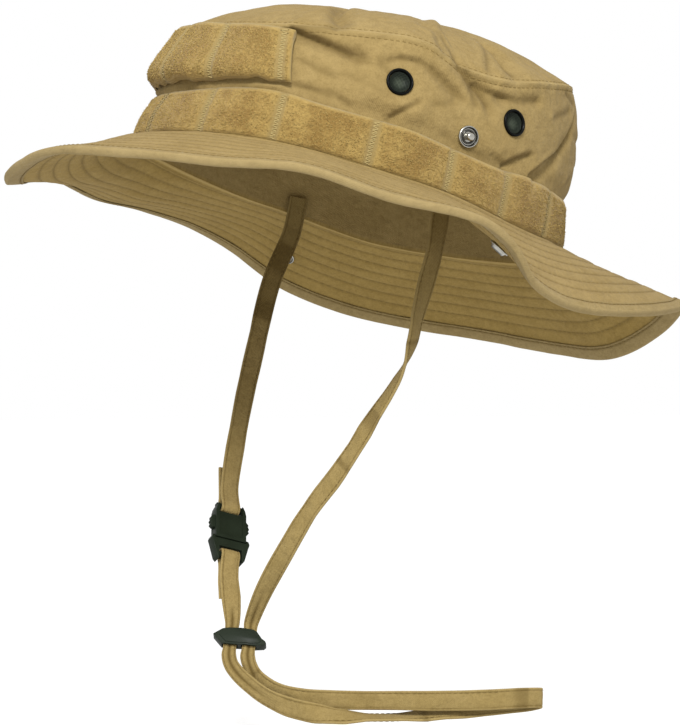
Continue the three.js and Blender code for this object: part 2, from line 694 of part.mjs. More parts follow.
// A tape's turn round a buckle bar, from its front to its back: `away` is 1 where the tape lies up the
// buckle from the bar and -1 where it lies down from it, and `end` is how far the sewn short end reaches.
function barTurn(bar, away, end) {
  const off = BUCKLE.bar / 2 + GAP + 0.2 + TAPE.thick / 2;
  const doubled = (TAPE.thick + GAP) / 2;
  return [
    [12, doubled], [5, doubled + 0.4], [0, off], [-off * 0.75, off * 0.75], [-off, 0],
    [-off * 0.75, -off * 0.75], [0, -off], [5, -doubled - 0.4], [12, -doubled - 0.3], [end, -doubled - 0.3],
  ].map(([along, out]) => station([0, bar + away * along, out], [away, 0, 0]));
}

// A strand gathered where it goes through one of the keeper's holes, down it (-1) or up it (1).
function throughSlider(hole, way) {
  return [[-8, 6.6, 2], [-5, 6, 2.2], [5, 6, 2.2], [8, 6.6, 2]].map(([along, width, thick]) =>
    station([hole, way * along, 0], [-1, 0, 0], width, thick),
  );
}

const chinStations = [
  station([79.9, 10, 3.4], [-0.12, 0.99, 0]),
  station([80.2, 8.6, -4], [-0.12, 0.99, 0]),
  station([82, 4, -26], [-0.22, 0.97, 0]),
  station([80, 1.2, -39], [-0.22, 0.97, 0]),
  station([77, -1.7, -54], [-0.4, 0.91, 0]),
  station([73, -2.7, -67], [-0.65, 0.75, 0.1]),
  station([69, -5.6, -78.5], [-0.9, 0.35, 0.2]),
  station([60, -14.4, -97.7], [-0.85, -0.15, 0.4]),
  station([46, -24.8, -121.9], [-0.8, -0.35, 0.42]),
  station([34, -33.9, -139.7], [-0.8, -0.4, 0.42]),
  station([22, -40.8, -158.6], [-0.7, -0.55, 0.4]),
  station([6.3, -45.1, -178.2], [-0.45, -0.85, 0.2], 8, 1.6),
  ...placed(sliderPlace, throughSlider(SLIDER.holeAt, -1)),
  station([8.1, -52, -209], [-0.3, -0.6, -0.7], 6.6, 1.8),
  station([11.2, -51.1, -213.5], [-0.2, -0.4, -0.9], 7.5),
  station([15.8, -48.2, -217.6], [0, 0, -1], 8.5),
  station([22.1, -43.7, -221], [0, 0, -1]),
  station([31, -36, -222.8], [0, 0, -1]),
  station([40, -24.6, -223.1], [0, 0, -1], 8.6),
  station([47.5, -12.5, -223.1], [0, 0, -1], 8.4),
  station([55.7, -0.4, -222.9], [0, 0, -1], 8.4),
  station([61.1, 13.1, -223.1], [0, 0, -1], 8.8),
  station([68.2, 34, -222.9], [0, 0, -1]),
  station([73.8, 52.7, -222.2], [0, 0, -1]),
  station([73.2, 60, -222.6], [0, 0, -1], 9, 1.2),
  station([68.1, 57.1, -224.2], [0, 0, -1]),
  station([65, 43.9, -225.5], [0.2, -0.1, -1]),
  station([61.3, 29.5, -227.5], [0.6, -0.25, -0.75]),
  station([57.3, 14.4, -229.4], [0.88, -0.35, -0.4]),
  station([54.8, 0.1, -230.2], [0.9, -0.37, -0.25]),
  station([52.5, -14.8, -230], [0.9, -0.37, -0.25]),
  station([46.8, -27.6, -229.4], [0.75, -0.3, -0.6]),
  station([38, -37.6, -227.8], [0.1, 0, -1]),
  station([27.5, -44, -225.6], [0, 0, -1], 8.6),
  station([19.4, -49.8, -221.9], [0, 0, -1], 8),
  station([13.7, -54.1, -217.6], [-0.1, -0.2, -1], 7.5),
  station([8.9, -57.6, -213.2], [-0.3, -0.5, -0.8], 7, 1.7),
  station([4.7, -59.5, -208.8], [-0.41, -0.85, -0.3], 6.6, 2),
  ...placed(sliderPlace, throughSlider(-SLIDER.holeAt, 1)),
  ...placed(bucklePlace, [
    station([1.6, -32.5, -0.6], [-0.98, 0, -0.15]),
    ...barTurn(BUCKLE.plugBar, -1, 13),
    station([0.6, -28, -2], [-1, 0, 0]),
    station([1.4, -32, -3.3], [-1, 0, 0]),
  ]),
];

const buckleStations = [
  station([-79.9, 10, 3.4], [0.12, 0.99, 0]),
  station([-80.2, 8.6, -4], [0.12, 0.99, 0]),
  station([-80, 6, -14], [0.12, 0.99, 0]),
  station([-76, -5.6, -35.9], [0.1, 0.97, 0]),
  station([-63, -19.7, -69], [0.05, 0.97, -0.1]),
  station([-45, -34.7, -101.3], [0, 0.97, -0.15]),
  ...placed(bucklePlace, barTurn(BUCKLE.bodyBar, 1, 22)),
];

// The left side of an outline, from its right side.
function mirror(rightSide) {
  return rightSide.map(([x, y]) => [-x, y]).reverse();
}

// Socket half: its cavity takes the plug's arms, whose heads show in the side windows.
function buckleBody() {
  const { width, thick, bar, slotWidth, bodyBar } = BUCKLE;
  const [half, slot] = [width / 2, slotWidth / 2];
  const rightSide = [
    [half, -4.2], [half, 9.8], [half - 0.5, 12], [half - 1.4, 13.9], [half - 2.4, 15], [half - 3.4, 15.5],
  ];
  let body = plate([...rightSide, ...mirror(rightSide)], thick);
  const strapSlot = box([-slot, slot], [9.6, 16], [-thick, thick]);
  const cavity = box([-5.9, 5.9], [-5, 8], [-ARM.room, ARM.room]);
  const windows = box([-half - 1, half + 1], [0.8, 7.9], [-ARM.room, ARM.room]);
  const panel = box([-slot, slot], [-2.4, 10], [thick / 2 - BUCKLE.sunk, thick]);
  for (const cut of [strapSlot, cavity, windows, panel]) body = body.subtract(cut);
  body = body.add(box([-half + 1, half - 1], [bodyBar - bar / 2, bodyBar + bar / 2], [-bar / 2, bar / 2]));
  return geometryOf(body);
}

// Plug half: two sprung arms and a guide tongue on a base with the strap's bar.
function bucklePlug() {
  const { width, thick, bar, slotWidth, plugBar } = BUCKLE;
  const [half, slot] = [width / 2, slotWidth / 2];
  const rightSide = [
    [half - 3, -15.5], [half - 1.8, -15.3], [half - 0.6, -14], [half, -11.8], [half + 1.4, -6.4],
    [half + 1.9, -4.9], [half + 1.4, -3.4], [half + GAP, -3], [half + GAP, -4.6],
  ];
  let body = plate([...rightSide, ...mirror(rightSide)], thick - 0.6);
  body = body.subtract(box([-slot, slot], [-16, -8.6], [-thick, thick]));
  body = body.add(box([-half + 1, half - 1], [plugBar - bar / 2, plugBar + bar / 2], [-bar / 2, bar / 2]));
  body = body.add(box([-1.2, 1.2], [-5, 5], [-1, 1]));
  const arm = [
    [3.9, -5], [5.5, -5], [5.5, 1.1], [8.7, 1.1], [9.7, 2.2], [9.2, 3.2], [9.8, 4.2], [9.2, 5.2], [9.4, 6.4],
    [8.4, 7.6], [4.6, 7.6], [3.9, 6],
  ];
  for (const side of [arm, mirror(arm)]) body = body.add(plate(side, ARM.thick));
  return geometryOf(body);
}

// A moulded keeper with a hole for each strand.
function slider() {
  const [length, deep] = SLIDER.hole;
  const outline = [
    [-8, -3.7], [-3, -3.9], [3, -3.6], [6.5, -3.9], [11, -3.3], [12, -2.3], [11.4, -1.3], [9.8, -0.2],
    [7.4, 2.9], [5.7, 3.8], [0.6, 4.3], [-5, 4], [-8, 3.4], [-12, 0.5],
  ];
  const panel = outline.map(([x, y]) => [x * SLIDER.panel, y * SLIDER.panel]);
  let body = plate(outline, SLIDER.depth).add(plate(panel, SLIDER.depth + 2 * SLIDER.raised));
  for (const side of [-1, 1]) {
    const middle = side * SLIDER.holeAt;
    body = body.subtract(box([middle - length / 2, middle + length / 2], [-6, 6], [-deep / 2, deep / 2]));
  }
  return geometryOf(body);
}

// ---------------------------------------------------------------- assembly
add(hat, "crown_wall", crownWall(), cloth);
add(hat, "crown_top", crownTop(), cloth);
add(hat, "brim", brim(), cloth);
add(hat, "brim_binding", brimBinding(), cloth);
add(hat, "loop_band", loopBand(), fuzzyTape);
add(hat, "front_patch", frontPatch(), fuzzyTape);
for (const { name, angle } of ventPlaces) {
  const place = crownFrame(angle, VENT.height);
  add(hat, "vent_" + name, ventRing(), ventPaint, place);
  add(hat, "vent_screen_" + name, ventScreen(), darkPlastic, place);
}
for (const { name, angle } of snapPlaces)
  add(hat, "snap_stud_" + name, snapStud(), nickel, crownFrame(angle, SNAP.height));
for (const { name, place } of socketPlaces)
  add(hat, "snap_socket_" + name, snapSocket(GRIP), nickel, place);
add(chin, "chin_strap", ribbon(chinStations), strapTape);
add(chin, "buckle_strap", ribbon(buckleStations), strapTape);
add(chin, "buckle_body", buckleBody(), darkPlastic, bucklePlace);
add(chin, "buckle_plug", bucklePlug(), darkPlastic, bucklePlace);
add(chin, "strap_slider", slider(), darkPlastic, sliderPlace);

const all = new THREE.Group();
all.add(hat, chin);
export default all;
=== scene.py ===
"""Bush hat with a chin strap. +Z is up, -Y is the front and +X is the wearer's left."""

import math

import bmesh
import bpy
import numpy as np
from mathutils import Matrix, Vector


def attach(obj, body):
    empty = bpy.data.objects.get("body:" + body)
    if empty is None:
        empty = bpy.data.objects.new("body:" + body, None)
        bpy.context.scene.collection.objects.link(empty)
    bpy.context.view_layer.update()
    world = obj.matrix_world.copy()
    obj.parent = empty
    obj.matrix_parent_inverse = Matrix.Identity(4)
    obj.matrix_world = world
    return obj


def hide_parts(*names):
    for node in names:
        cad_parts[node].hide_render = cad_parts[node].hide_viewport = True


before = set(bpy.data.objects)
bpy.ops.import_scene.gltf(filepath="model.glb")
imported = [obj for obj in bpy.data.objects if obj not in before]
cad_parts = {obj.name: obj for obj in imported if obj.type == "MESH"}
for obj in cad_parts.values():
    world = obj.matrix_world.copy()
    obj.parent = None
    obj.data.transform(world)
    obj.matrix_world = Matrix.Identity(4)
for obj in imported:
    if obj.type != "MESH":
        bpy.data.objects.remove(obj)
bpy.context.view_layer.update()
MM = 0.001

# ---------------------------------------------------------------- camera and light
AIM = Vector((-0.00161, -0.00363, -0.0748))
SIDE = math.radians(66)
DISTANCE = 1.6
SENSOR, LENS = 36, 175.5807  # in millimetres, as Blender takes them


def added(name, data):
    """A new object in the scene."""
    made = bpy.data.objects.new(name, data)
    bpy.context.collection.objects.link(made)
    return made


camera = added("camera", bpy.data.cameras.new("camera"))
camera.data.sensor_width = SENSOR
camera.data.lens = LENS
back = Vector((math.sin(SIDE), -math.cos(SIDE), 0))
camera.location = AIM + back * DISTANCE
camera.rotation_mode = "QUATERNION"
camera.rotation_quaternion = (-back).to_track_quat("-Z", "Y")
bpy.context.scene.camera = camera
bpy.context.scene.view_settings.view_transform = "Standard"

world = bpy.data.worlds.new("studio")
bpy.context.scene.world = world
world.use_nodes = True
backdrop = world.node_tree.nodes["Background"].inputs
backdrop["Color"].default_value = (1, 1, 1, 1)
backdrop["Strength"].default_value = 1.0


def lamp(name, place, size, power):
    """A soft square light that faces the hat."""
    light = bpy.data.lights.new(name, "AREA")
    light.size, light.energy = size, power
    lit = added(name, light)
    lit.location = place
    lit.rotation_mode = "QUATERNION"
    lit.rotation_quaternion = (Vector(place) - AIM).to_track_quat("Z", "Y")


lamp("key_light", (1.31, -0.64, 1.14), 0.5, 42)

# ---------------------------------------------------------------- sizes, in millimetres and degrees
PITCH = math.radians(15.8)
HEAD_LENGTH, HEAD_WIDTH = 100, 84
CLOTH = 1.6
GAP = 0.3
SEWN = 0.03  # between cloths sewn edge to edge
TOP_MIDDLE, TOP_TILT, TOP_ROUND, TOP_FOLDS_FROM = 83, 4, 2.8, 8
BRIM_WIDTH, BRIM_THICK, BRIM_STEPS, BRIM_LEVEL = 62, 1.5, 24, 5.5
HEM_TOP, HEM_UNDER, HEM_THICK, HEM_SLACK = 5, 6.8, 0.6, 0.2
HEM_SEWN = (3.8, 5.7)  # the hem's stitching, in from the edge: on top and underneath
BAND_LOW, BAND_HIGH, BAND_THICK, BAND_PUFF, BAND_STEP = 0.8, 22, 1.8, 0.7, 36
PATCH_HALF, PATCH_TRIM, PATCH_STEP, PATCH_THICK, PATCH_PUFF, PATCH_CLEAR = 75, 6, 35, 1.8, 1.5, 1.2
PATCH_LOW, PATCH_HIGH = (25.2, 1.8), (51.5, 1.2)  # each edge's height in the middle, and its rise at the ends
VENT_HEIGHT, VENT_ANGLES, VENT_FLANGE, VENT_BORE, VENT_HOLE = 41, (76, 110.5), 6.1, 4.7, 5.2
SNAP_ANGLE, SNAP_HEIGHT, SNAP_FLANGE, SNAP_HOLE = 97.5, 29, 4.9, 2.1
SOCKET_ANGLE, SOCKET_REACH, SOCKET_FLANGE = 101, 40, 5
GRIP = 0.5
TAPE_WIDTH, TAPE_THICK = 9, 1.4
BAR, BODY_BAR, PLUG_BAR = 2.4, 13.4, -12
HOLE_AT = 4.2
ROWS, ROW_STEP, LAST_ROW = 7, 6.65, 48.2  # of stitching on the brim, by reach from its root
ROLL_GROOVE = 5.1  # the reach of the groove beyond the rolled seam
WELT_LOW, WELT_HIGH = 2.2, 1.6  # the top seam's stitching, below it and above it
PRESSED_FLAT, CALM = 9, 8.5  # round each vent and snap, folds and ripples die away
TACK_SWING = 1.35
SIDES = (("left", 1), ("right", -1))

# the band's tacks: length to each from the front, the same on both sides, and its number
TACKS = [(0, 0), (38, 1), (73, 2), (115, 3), (152, 4), (183, 5), (217, 6), (253, 7), (289.6, 8)]
# angle, seam height, lean in and its curl, swell, foot line, band's top line, pinch over the band
CROWN = [
    (0, 51.5, 8.5, 1.6, 3.5, -2.2, -3, 6), (15, 51.5, 8.5, 1.6, 3.5, -1.8, -2.5, 6),
    (30, 52.5, 7.5, 1.6, 3, -0.6, 0, 4), (46, 55, 5.5, 1.6, 1.5, 0.8, 2, 2),
    (60, 57.5, 4.5, 1.6, 1, 0.8, 0.3, 1.6), (80, 61.5, 5, 1.6, 1.5, 0, 0, 1.6),
    (94, 56.5, 6, 1.6, 1, -0.2, -1.8, 1.6), (106, 57.5, 4.5, 1.6, 1.5, -1.8, -3, 1.6),
    (120, 64, 5, 2, 1.5, -3, -1.2, 1.6), (140, 71.5, 9, 3.2, -0.3, -1.6, -1.2, 1.6),
    (160, 76, 12.5, 4, -1, -0.4, -1, 2.5), (180, 76, 12.5, 4, -1, 0, -1, 2.5),
]
# angle, drop of the edge, lateness of the bend, sag of the middle
BRIM = [
    (0, 32, 1.35, 4), (11, 28, 1.25, 2), (23, 25.5, 1.15, 1), (34, 24, 1.1, 0), (46, 22, 1.1, 0),
    (60, 16.5, 1.2, 0), (74, 18.5, 1.1, 0), (90, 16, 1, 1), (97, 21, 1, 3), (105, 33, 1.1, 1),
    (118, 35, 1.1, 0), (135, 25, 1.2, 0), (148, 15, 1.3, 0), (157, 9.5, 1.3, 0), (168, 18, 1.3, 0),
    (182, 31, 1.2, 0), (198, 31, 1.1, 0), (216, 30, 1.1, 0), (240, 33, 1.1, 0), (256, 29, 1.1, 0),
    (270, 16, 1.1, 1), (287, 12.5, 1, 3.5), (300, 16.5, 0.95, 6), (312, 16.5, 1.05, 8.5),
    (327, 24.5, 1.15, 9), (340, 33.5, 1.35, 7.5), (350, 34.5, 1.4, 6),
]
# angle and height, to angle and height, width, depth: the crown's broad folds
FOLDS = [
    (46, 51, 64, 47, 3.6, 3.6), (57, 60, 40, 101, 4.5, 4), (84, 74, 95, 106, 6, -2.5),
    (72, 49, 81, 52.5, 3.2, 1.5), (70, 33, 82, 31, 5, -1.5), (84, 50, 92, 43, 3.2, 1.8),
    (82, 84, 87, 60, 4, 2), (91, 58, 103, 43, 3.5, 2.6), (98, 51, 106, 48, 3, 1.8),
    (106, 49, 119, 55, 3.2, 1.9), (111, 23, 119, 31, 3, 1.6), (123, 22, 142, 50, 2.8, 2.4),
    (112, 84, 110, 62, 4, 2.4), (76, 24, 81, 34, 2.6, 1.2),
]
# the sharper creases that lie in and between the broad folds, in the same columns, and the lip over each
CREASES = [
    (44, 52.5, 53, 50, 1.2, 1.7, 1.0), (53, 50, 62, 47, 1.3, 1.4, 0.9), (62, 47, 67, 46, 1.8, 0.5, 0.3),
    (46, 54.5, 56, 57, 1.6, 0.7, 0.5), (88, 73, 90, 64, 1.5, 1.3, 0.7), (90, 64, 92, 56, 1.4, 1.3, 0.7),
    (92, 56, 95, 52, 1.3, 1.3, 0.8), (95, 52, 99, 49, 1.3, 1.2, 0.7), (99, 49, 102, 44, 1.5, 1.0, 0.5),
    (84, 51, 94, 43, 2.2, 0.8, 0.3), (94, 56, 98, 43, 2.2, 0.8, 0.3), (108, 82, 101, 61, 1.6, 1.2, 0.5),
    (110, 79, 110, 63, 1.7, 0.9, 0.4), (98, 51, 102, 50, 1.1, 0.8, 0.6),
    (102, 50, 108, 50.5, 1.1, 0.9, 0.7), (108, 50.5, 112, 51, 1.2, 0.8, 0.6),
    (112, 51, 119, 55, 1.4, 0.6, 0.4), (72, 48.5, 75, 51.5, 1.1, 0.6, 0.4),
    (75, 51.5, 80, 52.5, 1.1, 0.8, 0.6), (80, 52.5, 84, 50.5, 1.2, 0.5, 0.4),
    (70, 47, 74, 43, 1.8, 0.7, 0.3), (76, 25, 82, 35, 1.0, 0.8, 0.4), (106, 26, 111, 24, 1.2, 0.8, 0.3),
    (111, 24, 114.5, 28, 1.0, 1.3, 0.7), (114.5, 28, 119, 31.5, 1.0, 1.0, 0.6),
    (121, 23, 126, 31, 1.0, 1.3, 0.7), (126, 31, 136, 40, 1.0, 1.3, 0.7), (136, 40, 142, 51, 1.1, 1.2, 0.6),
    (142, 51, 146, 60, 1.3, 0.8, 0.4), (137, 67, 146, 65, 1.5, 0.7, 0.4), (91, 26, 108, 23.5, 2, 0.6, 0.2),
    (50, 39, 58, 36, 2, 0.6, 0.3), (59, 29, 65, 25, 1.6, 0.6, 0.3), (50, 27, 60, 27, 1.6, 0.6, 0.3),
    (62, 38, 74, 34, 2.2, 0.4, 0.2), (86, 36, 92, 40, 1.6, 0.5, 0.2), (128, 52, 140, 60, 1.8, 0.7, 0.3),
    (146, 30, 158, 40, 1.8, 0.6, 0.3), (150, 52, 170, 48, 2, 0.6, 0.3),
]


class Curve:
    """One column of a table as a smooth line over the angle; with a period it closes on itself."""

    def __init__(self, rows, column, period=0):
        at, value = np.array([(row[0], row[column]) for row in rows], float).T
        if period:
            at = np.concatenate([at[-2:] - period, at, at[:2] + period])
            value = np.concatenate([value[-2:], value, value[:2]])
        slope = np.zeros_like(value)
        slope[1:-1] = (value[2:] - value[:-2]) / (at[2:] - at[:-2])
        self.at, self.value, self.slope, self.period = at, value, slope, period

    def __call__(self, place):
        place = np.mod(place, self.period) if self.period else np.asarray(place, float)
        i = np.clip(np.searchsorted(self.at, place, side="right") - 1, 0, len(self.at) - 2)
        span = self.at[i + 1] - self.at[i]
        s = (place - self.at[i]) / span
        return (
            (2 * s**3 - 3 * s**2 + 1) * self.value[i]
            + (s**3 - 2 * s**2 + s) * span * self.slope[i]
            + (3 * s**2 - 2 * s**3) * self.value[i + 1]
            + (s**3 - s**2) * span * self.slope[i + 1]
        )


def bell(away, width, power=2):
    """1 on a line, falling to 0 beyond its width; a higher power is flatter and steeper."""
    return np.exp(-((away / width) ** power))


SEAM, LEAN_IN, CURL, SWELL, FOOT, BAND_TOP, PINCH = (Curve(CROWN, column) for column in range(1, 8))
DROP, LATE, SAG = (Curve(BRIM, column, 360) for column in range(1, 4))


def mirrored(angle):
    """The angle on the left half of the hat, from 0 at the front to 180 at the back."""
    angle = np.mod(angle, 360)
    return np.where(angle > 180, 360 - angle, angle)


def seam_at(angle):
    """How high the top seam is."""
    return SEAM(mirrored(angle))


class Ripple:
    """Smooth irregular waves, from -1 to 1, over a lattice that closes round the hat."""

    def __init__(self, seed, round_cells, step):
        self.cells, self.step = round_cells, step
        self.values = np.random.default_rng(seed).uniform(-1, 1, (round_cells, 64))

    def __call__(self, angle, height):
        u = np.mod(angle, 360) / 360 * self.cells
        v = np.asarray(height, float) / self.step
        i, j = np.floor(u).astype(int), np.floor(v).astype(int)
        s, t = u - i, v - j
        s, t = s * s * (3 - 2 * s), t * t * (3 - 2 * t)

        def at(a, b):
            return self.values[(i + a) % self.cells, (j + b) % 64]

        low = at(0, 0) * (1 - s) + at(1, 0) * s
        high = at(0, 1) * (1 - s) + at(1, 1) * s
        return low * (1 - t) + high * t


broad_ripple = Ripple(3, 26, 19)
small_ripple = Ripple(4, 88, 6.5)
pucker_ripple = Ripple(5, 130, 60)
edge_ripple = Ripple(6, 60, 9)


# ---------------------------------------------------------------- the hat's surfaces
def unit(vectors):
    return vectors / np.maximum(np.linalg.norm(vectors, axis=-1, keepdims=True), 1e-12)


def outward(angle):
    """The level direction straight out of the foot line."""
    a = np.radians(angle)
    return unit(np.stack([HEAD_LENGTH * np.sin(a), -HEAD_WIDTH * np.cos(a), 0 * a], -1))


def foot_point(angle, out, up):
    """A place some way out from the foot line and up from it."""
    a = np.radians(angle)
    out, up = np.broadcast_arrays(out + 0 * a, up + 0 * a)
    point = np.stack([HEAD_WIDTH * np.sin(a) + 0 * out, -HEAD_LENGTH * np.cos(a) + 0 * out, up], -1)
    return point + outward(angle + 0 * out) * out[..., None]


def per_degree(angle):
    """How long a degree of the foot line is."""
    a = np.radians(angle)
    return math.radians(1) * np.hypot(HEAD_WIDTH * np.cos(a), HEAD_LENGTH * np.sin(a))


ANGLES = np.arange(0, 360.001, 0.1)
LENGTHS = np.concatenate([[0], np.cumsum(0.1 * per_degree(ANGLES[:-1] + 0.05))])
FOOT_LENGTH = LENGTHS[-1]


def gone_along(points):
    """The length gone at each point of a line."""
    return np.concatenate([[0], np.cumsum(np.linalg.norm(np.diff(points, axis=0), axis=1))])


def length_at(angle):
    """The length along the foot line from the front to an angle."""
    return np.interp(angle, ANGLES, LENGTHS)


def angle_at(length):
    """The angle at a length along the foot line from the front, to the left where it is positive."""
    return np.interp(np.mod(length, FOOT_LENGTH), LENGTHS, ANGLES)


def from_line(ends, side, height):
    """How far each place is from a line on the crown, and the same with a minus below the line."""
    angle, low, to_angle, high = ends
    scale = float(per_degree((angle + to_angle) / 2))
    run_x, run_y = (to_angle - angle) * scale, high - low
    x, y = (side - angle) * scale, height - low
    share = np.clip((x * run_x + y * run_y) / (run_x**2 + run_y**2), 0, 1)
    away = np.hypot(x - run_x * share, y - run_y * share)
    return away, np.where((run_x * y - run_y * x) * (1 if run_x >= 0 else -1) > 0, away, -away)


def fold_sum(side, height):
    """The broad folds' depth."""
    depth = 0
    for *ends, width, inwards in FOLDS:
        depth = depth + inwards * bell(from_line(ends, side, height)[0], width)
    return depth


def creases(side, height):
    """The creases' depth, each with a lip above it, and how much painted shade lies in them."""
    depth, raised, dark = 0, 0, 0
    for *ends, width, inwards, lip in CREASES:
        away, over = from_line(ends, side, height)
        depth = np.maximum(depth, inwards * bell(away, width))
        raised = np.maximum(raised, lip * bell(over - 1.9 * width, 1.3 * width))
        dark = np.maximum(dark, min(1, inwards) * bell(away, 0.8 * width))
    return depth - raised, dark


FITTED = [(angle, VENT_HEIGHT) for angle in VENT_ANGLES] + [(SNAP_ANGLE, SNAP_HEIGHT)]
PRESSED = [
    (
        angle,
        height,
        fold_sum(angle, height),
        (fold_sum(angle + 1, height) - fold_sum(angle - 1, height)) / 2,
        (fold_sum(angle, height + 1) - fold_sum(angle, height - 1)) / 2,
    )
    for angle, height in FITTED
]


def fold_depth(angle, height):
    """The broad folds' depth, pressed flat under each vent and snap."""
    side = mirrored(angle)
    depth = fold_sum(side, height)
    for spot, level, middle, per_angle, per_height in PRESSED:
        across, up = side - spot, height - level
        distance = np.hypot(across * per_degree(spot), up)
        plane = middle + across * per_angle + up * per_height
        depth = depth + (plane - depth) * bell(distance, PRESSED_FLAT, 4)
    return depth


def crown_out(angle, height):
    """How far out the crown's smooth form stands from the foot line."""
    side = mirrored(angle)
    share = height / SEAM(side)
    lean = LEAN_IN(side) * np.maximum(share, 0) ** CURL(side)
    swell = SWELL(side) * np.sin(np.pi * np.clip(share, 0, 1)) ** 2
    waist = BAND_HIGH + 1
    pinch = PINCH(side) * bell(height - waist, np.where(height < waist, 11, 5))
    return swell - lean - pinch - fold_depth(angle, height)


def settled(angle, height):
    """The level of a height on the crown, once its foot and the band's top have sagged into place."""
    side = mirrored(angle)
    share = height / BAND_HIGH
    above = np.maximum(0, 1 - (height - BAND_HIGH) / 18)
    foot, top = FOOT(side), BAND_TOP(side)
    return height + np.where(share < 1, foot + (top - foot) * share, top * above)


def crown_point(angle, height, out=0.0):
    """A place on the crown's smooth form, or some way out from it."""
    return foot_point(angle, crown_out(angle, height) + out, settled(angle, height))


def near_fitting(angle, height):
    """1 at a vent or snap, falling to 0 away from it."""
    side = mirrored(angle)
    near = 0
    for spot, level in FITTED:
        distance = np.hypot((side - spot) * per_degree(spot), height - level)
        near = np.maximum(near, bell(distance, CALM, 4))
    return near


def softness(angle, height):
    """How far worn cloth strays from the smooth form, in millimetres."""
    loose = np.clip((height - 6) / 14, 0.15, 1)
    wander = 0.55 * broad_ripple(angle, height) + 0.2 * small_ripple(angle, height)
    crease = creases(mirrored(angle), height)[0]
    return loose * (wander - crease) * (1 - near_fitting(angle, height))


def crown_skin(angle, height, out=0.0):
    """The crown cloth as it lies, with its ripples, creases and the puckers under the top seam."""
    below = seam_at(angle) - height
    pucker = 0.35 * pucker_ripple(angle, 0) * bell(below, 4)
    welt = 0.45 * bell(below, 1.5, 4) - 0.3 * bell(below - WELT_LOW, 0.5)
    dimple = -0.25 * near_fitting(angle, height)
    under_patch = bell(height - 23.8, 1.5) * bell(mirrored(angle), 46, 6)
    bulge = under_patch * np.clip(1.6 + 1.4 * edge_ripple(angle, 20), 0.3, 2.6)
    return crown_point(angle, height, out + softness(angle, height) + pucker + welt + dimple + bulge)


def top_skin(angle, share):
    """The top panel: it springs from the seam and rounds over to a nearly level middle."""
    side = mirrored(angle)
    seam = SEAM(side)
    edge = crown_skin(angle, seam)
    rise = 1 - (1 - share) ** TOP_ROUND
    panel = TOP_MIDDLE + TOP_TILT * edge[..., 1] / HEAD_LENGTH
    height = seam + SEWN + (panel - seam) * rise
    point = np.stack([edge[..., 0] * (1 - share), edge[..., 1] * (1 - share), height + 0 * share], -1)
    lying = np.minimum(1, 4 * share) * (np.pi / 2)
    away = outward(angle + 0 * lying) * np.cos(lying)[..., None]
    away[..., 2] = np.sin(lying)
    inwards = seam + share * HEAD_WIDTH
    carried = np.minimum(1, np.minimum(share * HEAD_WIDTH / TOP_FOLDS_FROM, 1.6 * (1 - share)))
    folded = carried * fold_sum(side, inwards)
    along = share * HEAD_WIDTH
    pucker = 0.3 * pucker_ripple(angle, 0) * bell(along, 4) * np.minimum(1, along / 2)
    stitched = 0.3 * bell(along - WELT_HIGH, 0.5)
    fade = np.minimum(1, np.minimum((1 - share) * 2.2, along / 5))
    wander = fade * (0.6 * broad_ripple(angle, inwards) + 0.2 * small_ripple(angle, inwards))
    creased = creases(side, inwards)[0] * np.sin(lying) * (1 - share)
    return point + away * (wander + pucker - stitched - folded - creased)[..., None]


def brim_line(angle):
    """The brim's middle line at each angle: reach, height and slope at even lengths out."""
    drop, late, sag = DROP(angle), LATE(angle), SAG(angle)
    root = FOOT(mirrored(angle)) - GAP - BRIM_THICK / 2
    share = (np.arange(BRIM_STEPS + 1) / BRIM_STEPS)[:, None]
    bent = np.maximum(0, share * BRIM_WIDTH - BRIM_LEVEL) / (BRIM_WIDTH - BRIM_LEVEL)
    height = root * (1 - share) - drop * bent**late - sag * np.sin(np.pi * bent)
    step = (BRIM_WIDTH + CLOTH) / BRIM_STEPS
    slope = np.zeros_like(height)
    slope[1:] = np.arcsin(np.clip(np.diff(height, axis=0) / step, -0.95, 0.95))
    reach = np.full_like(height, -CLOTH)
    reach[1:] += np.cumsum(step * np.cos(slope[1:]), axis=0)
    return reach, height, slope


def brim_point(angle, share, off, further=0.0):
    """A place on the brim, some way off its middle line, or further out than its edge."""
    given = (np.asarray(x, float) for x in (angle, share, off, further))
    angle, share, off, further = np.broadcast_arrays(*given)
    flat = np.mod(angle.ravel(), 360)
    reach, height, slope = brim_line(flat)
    place = np.clip(share.ravel(), 0, 1) * BRIM_STEPS
    i = np.minimum(BRIM_STEPS - 1, np.floor(place).astype(int))
    part = place - i
    n = np.arange(len(flat))

    def mix(column):
        return column[i, n] + (column[i + 1, n] - column[i, n]) * part

    lean = np.where(share.ravel() < 0.02, 0, mix(slope))
    beyond, square = further.ravel(), off.ravel()
    out = mix(reach) + beyond * np.cos(lean) - square * np.sin(lean)
    up = mix(height) + beyond * np.sin(lean) + square * np.cos(lean)
    return foot_point(flat, out, up).reshape(angle.shape + (3,))


BRIM_ROWS = [LAST_ROW - ROW_STEP * k for k in range(ROWS)]


def from_row(share):
    """How far a place on the brim is from its nearest row of stitching."""
    return np.min([np.abs(share * BRIM_WIDTH - row) for row in BRIM_ROWS], axis=0)


def quilting(angle, share):
    """The cloth rises a little between the rows of stitching and is drawn in at them."""
    rise = 0.36 * (1 - bell(from_row(share), 1.2))
    return rise - 0.1 + 0.1 * edge_ripple(angle, share * BRIM_WIDTH * 3)


def from_crown(share):
    """How far out from the crown cloth a place on the brim is."""
    return share * (BRIM_WIDTH + CLOTH) - CLOTH


def rolled_seam(share):
    """The seam that joins brim and crown stands up as a soft roll, with a groove beyond it."""
    reach = from_crown(share)
    roll = 0.75 * np.clip((reach - 0.2) / 0.8, 0, 1) * bell(reach, 4.1, 8)
    return roll - 0.4 * bell(reach - ROLL_GROOVE, 0.55)


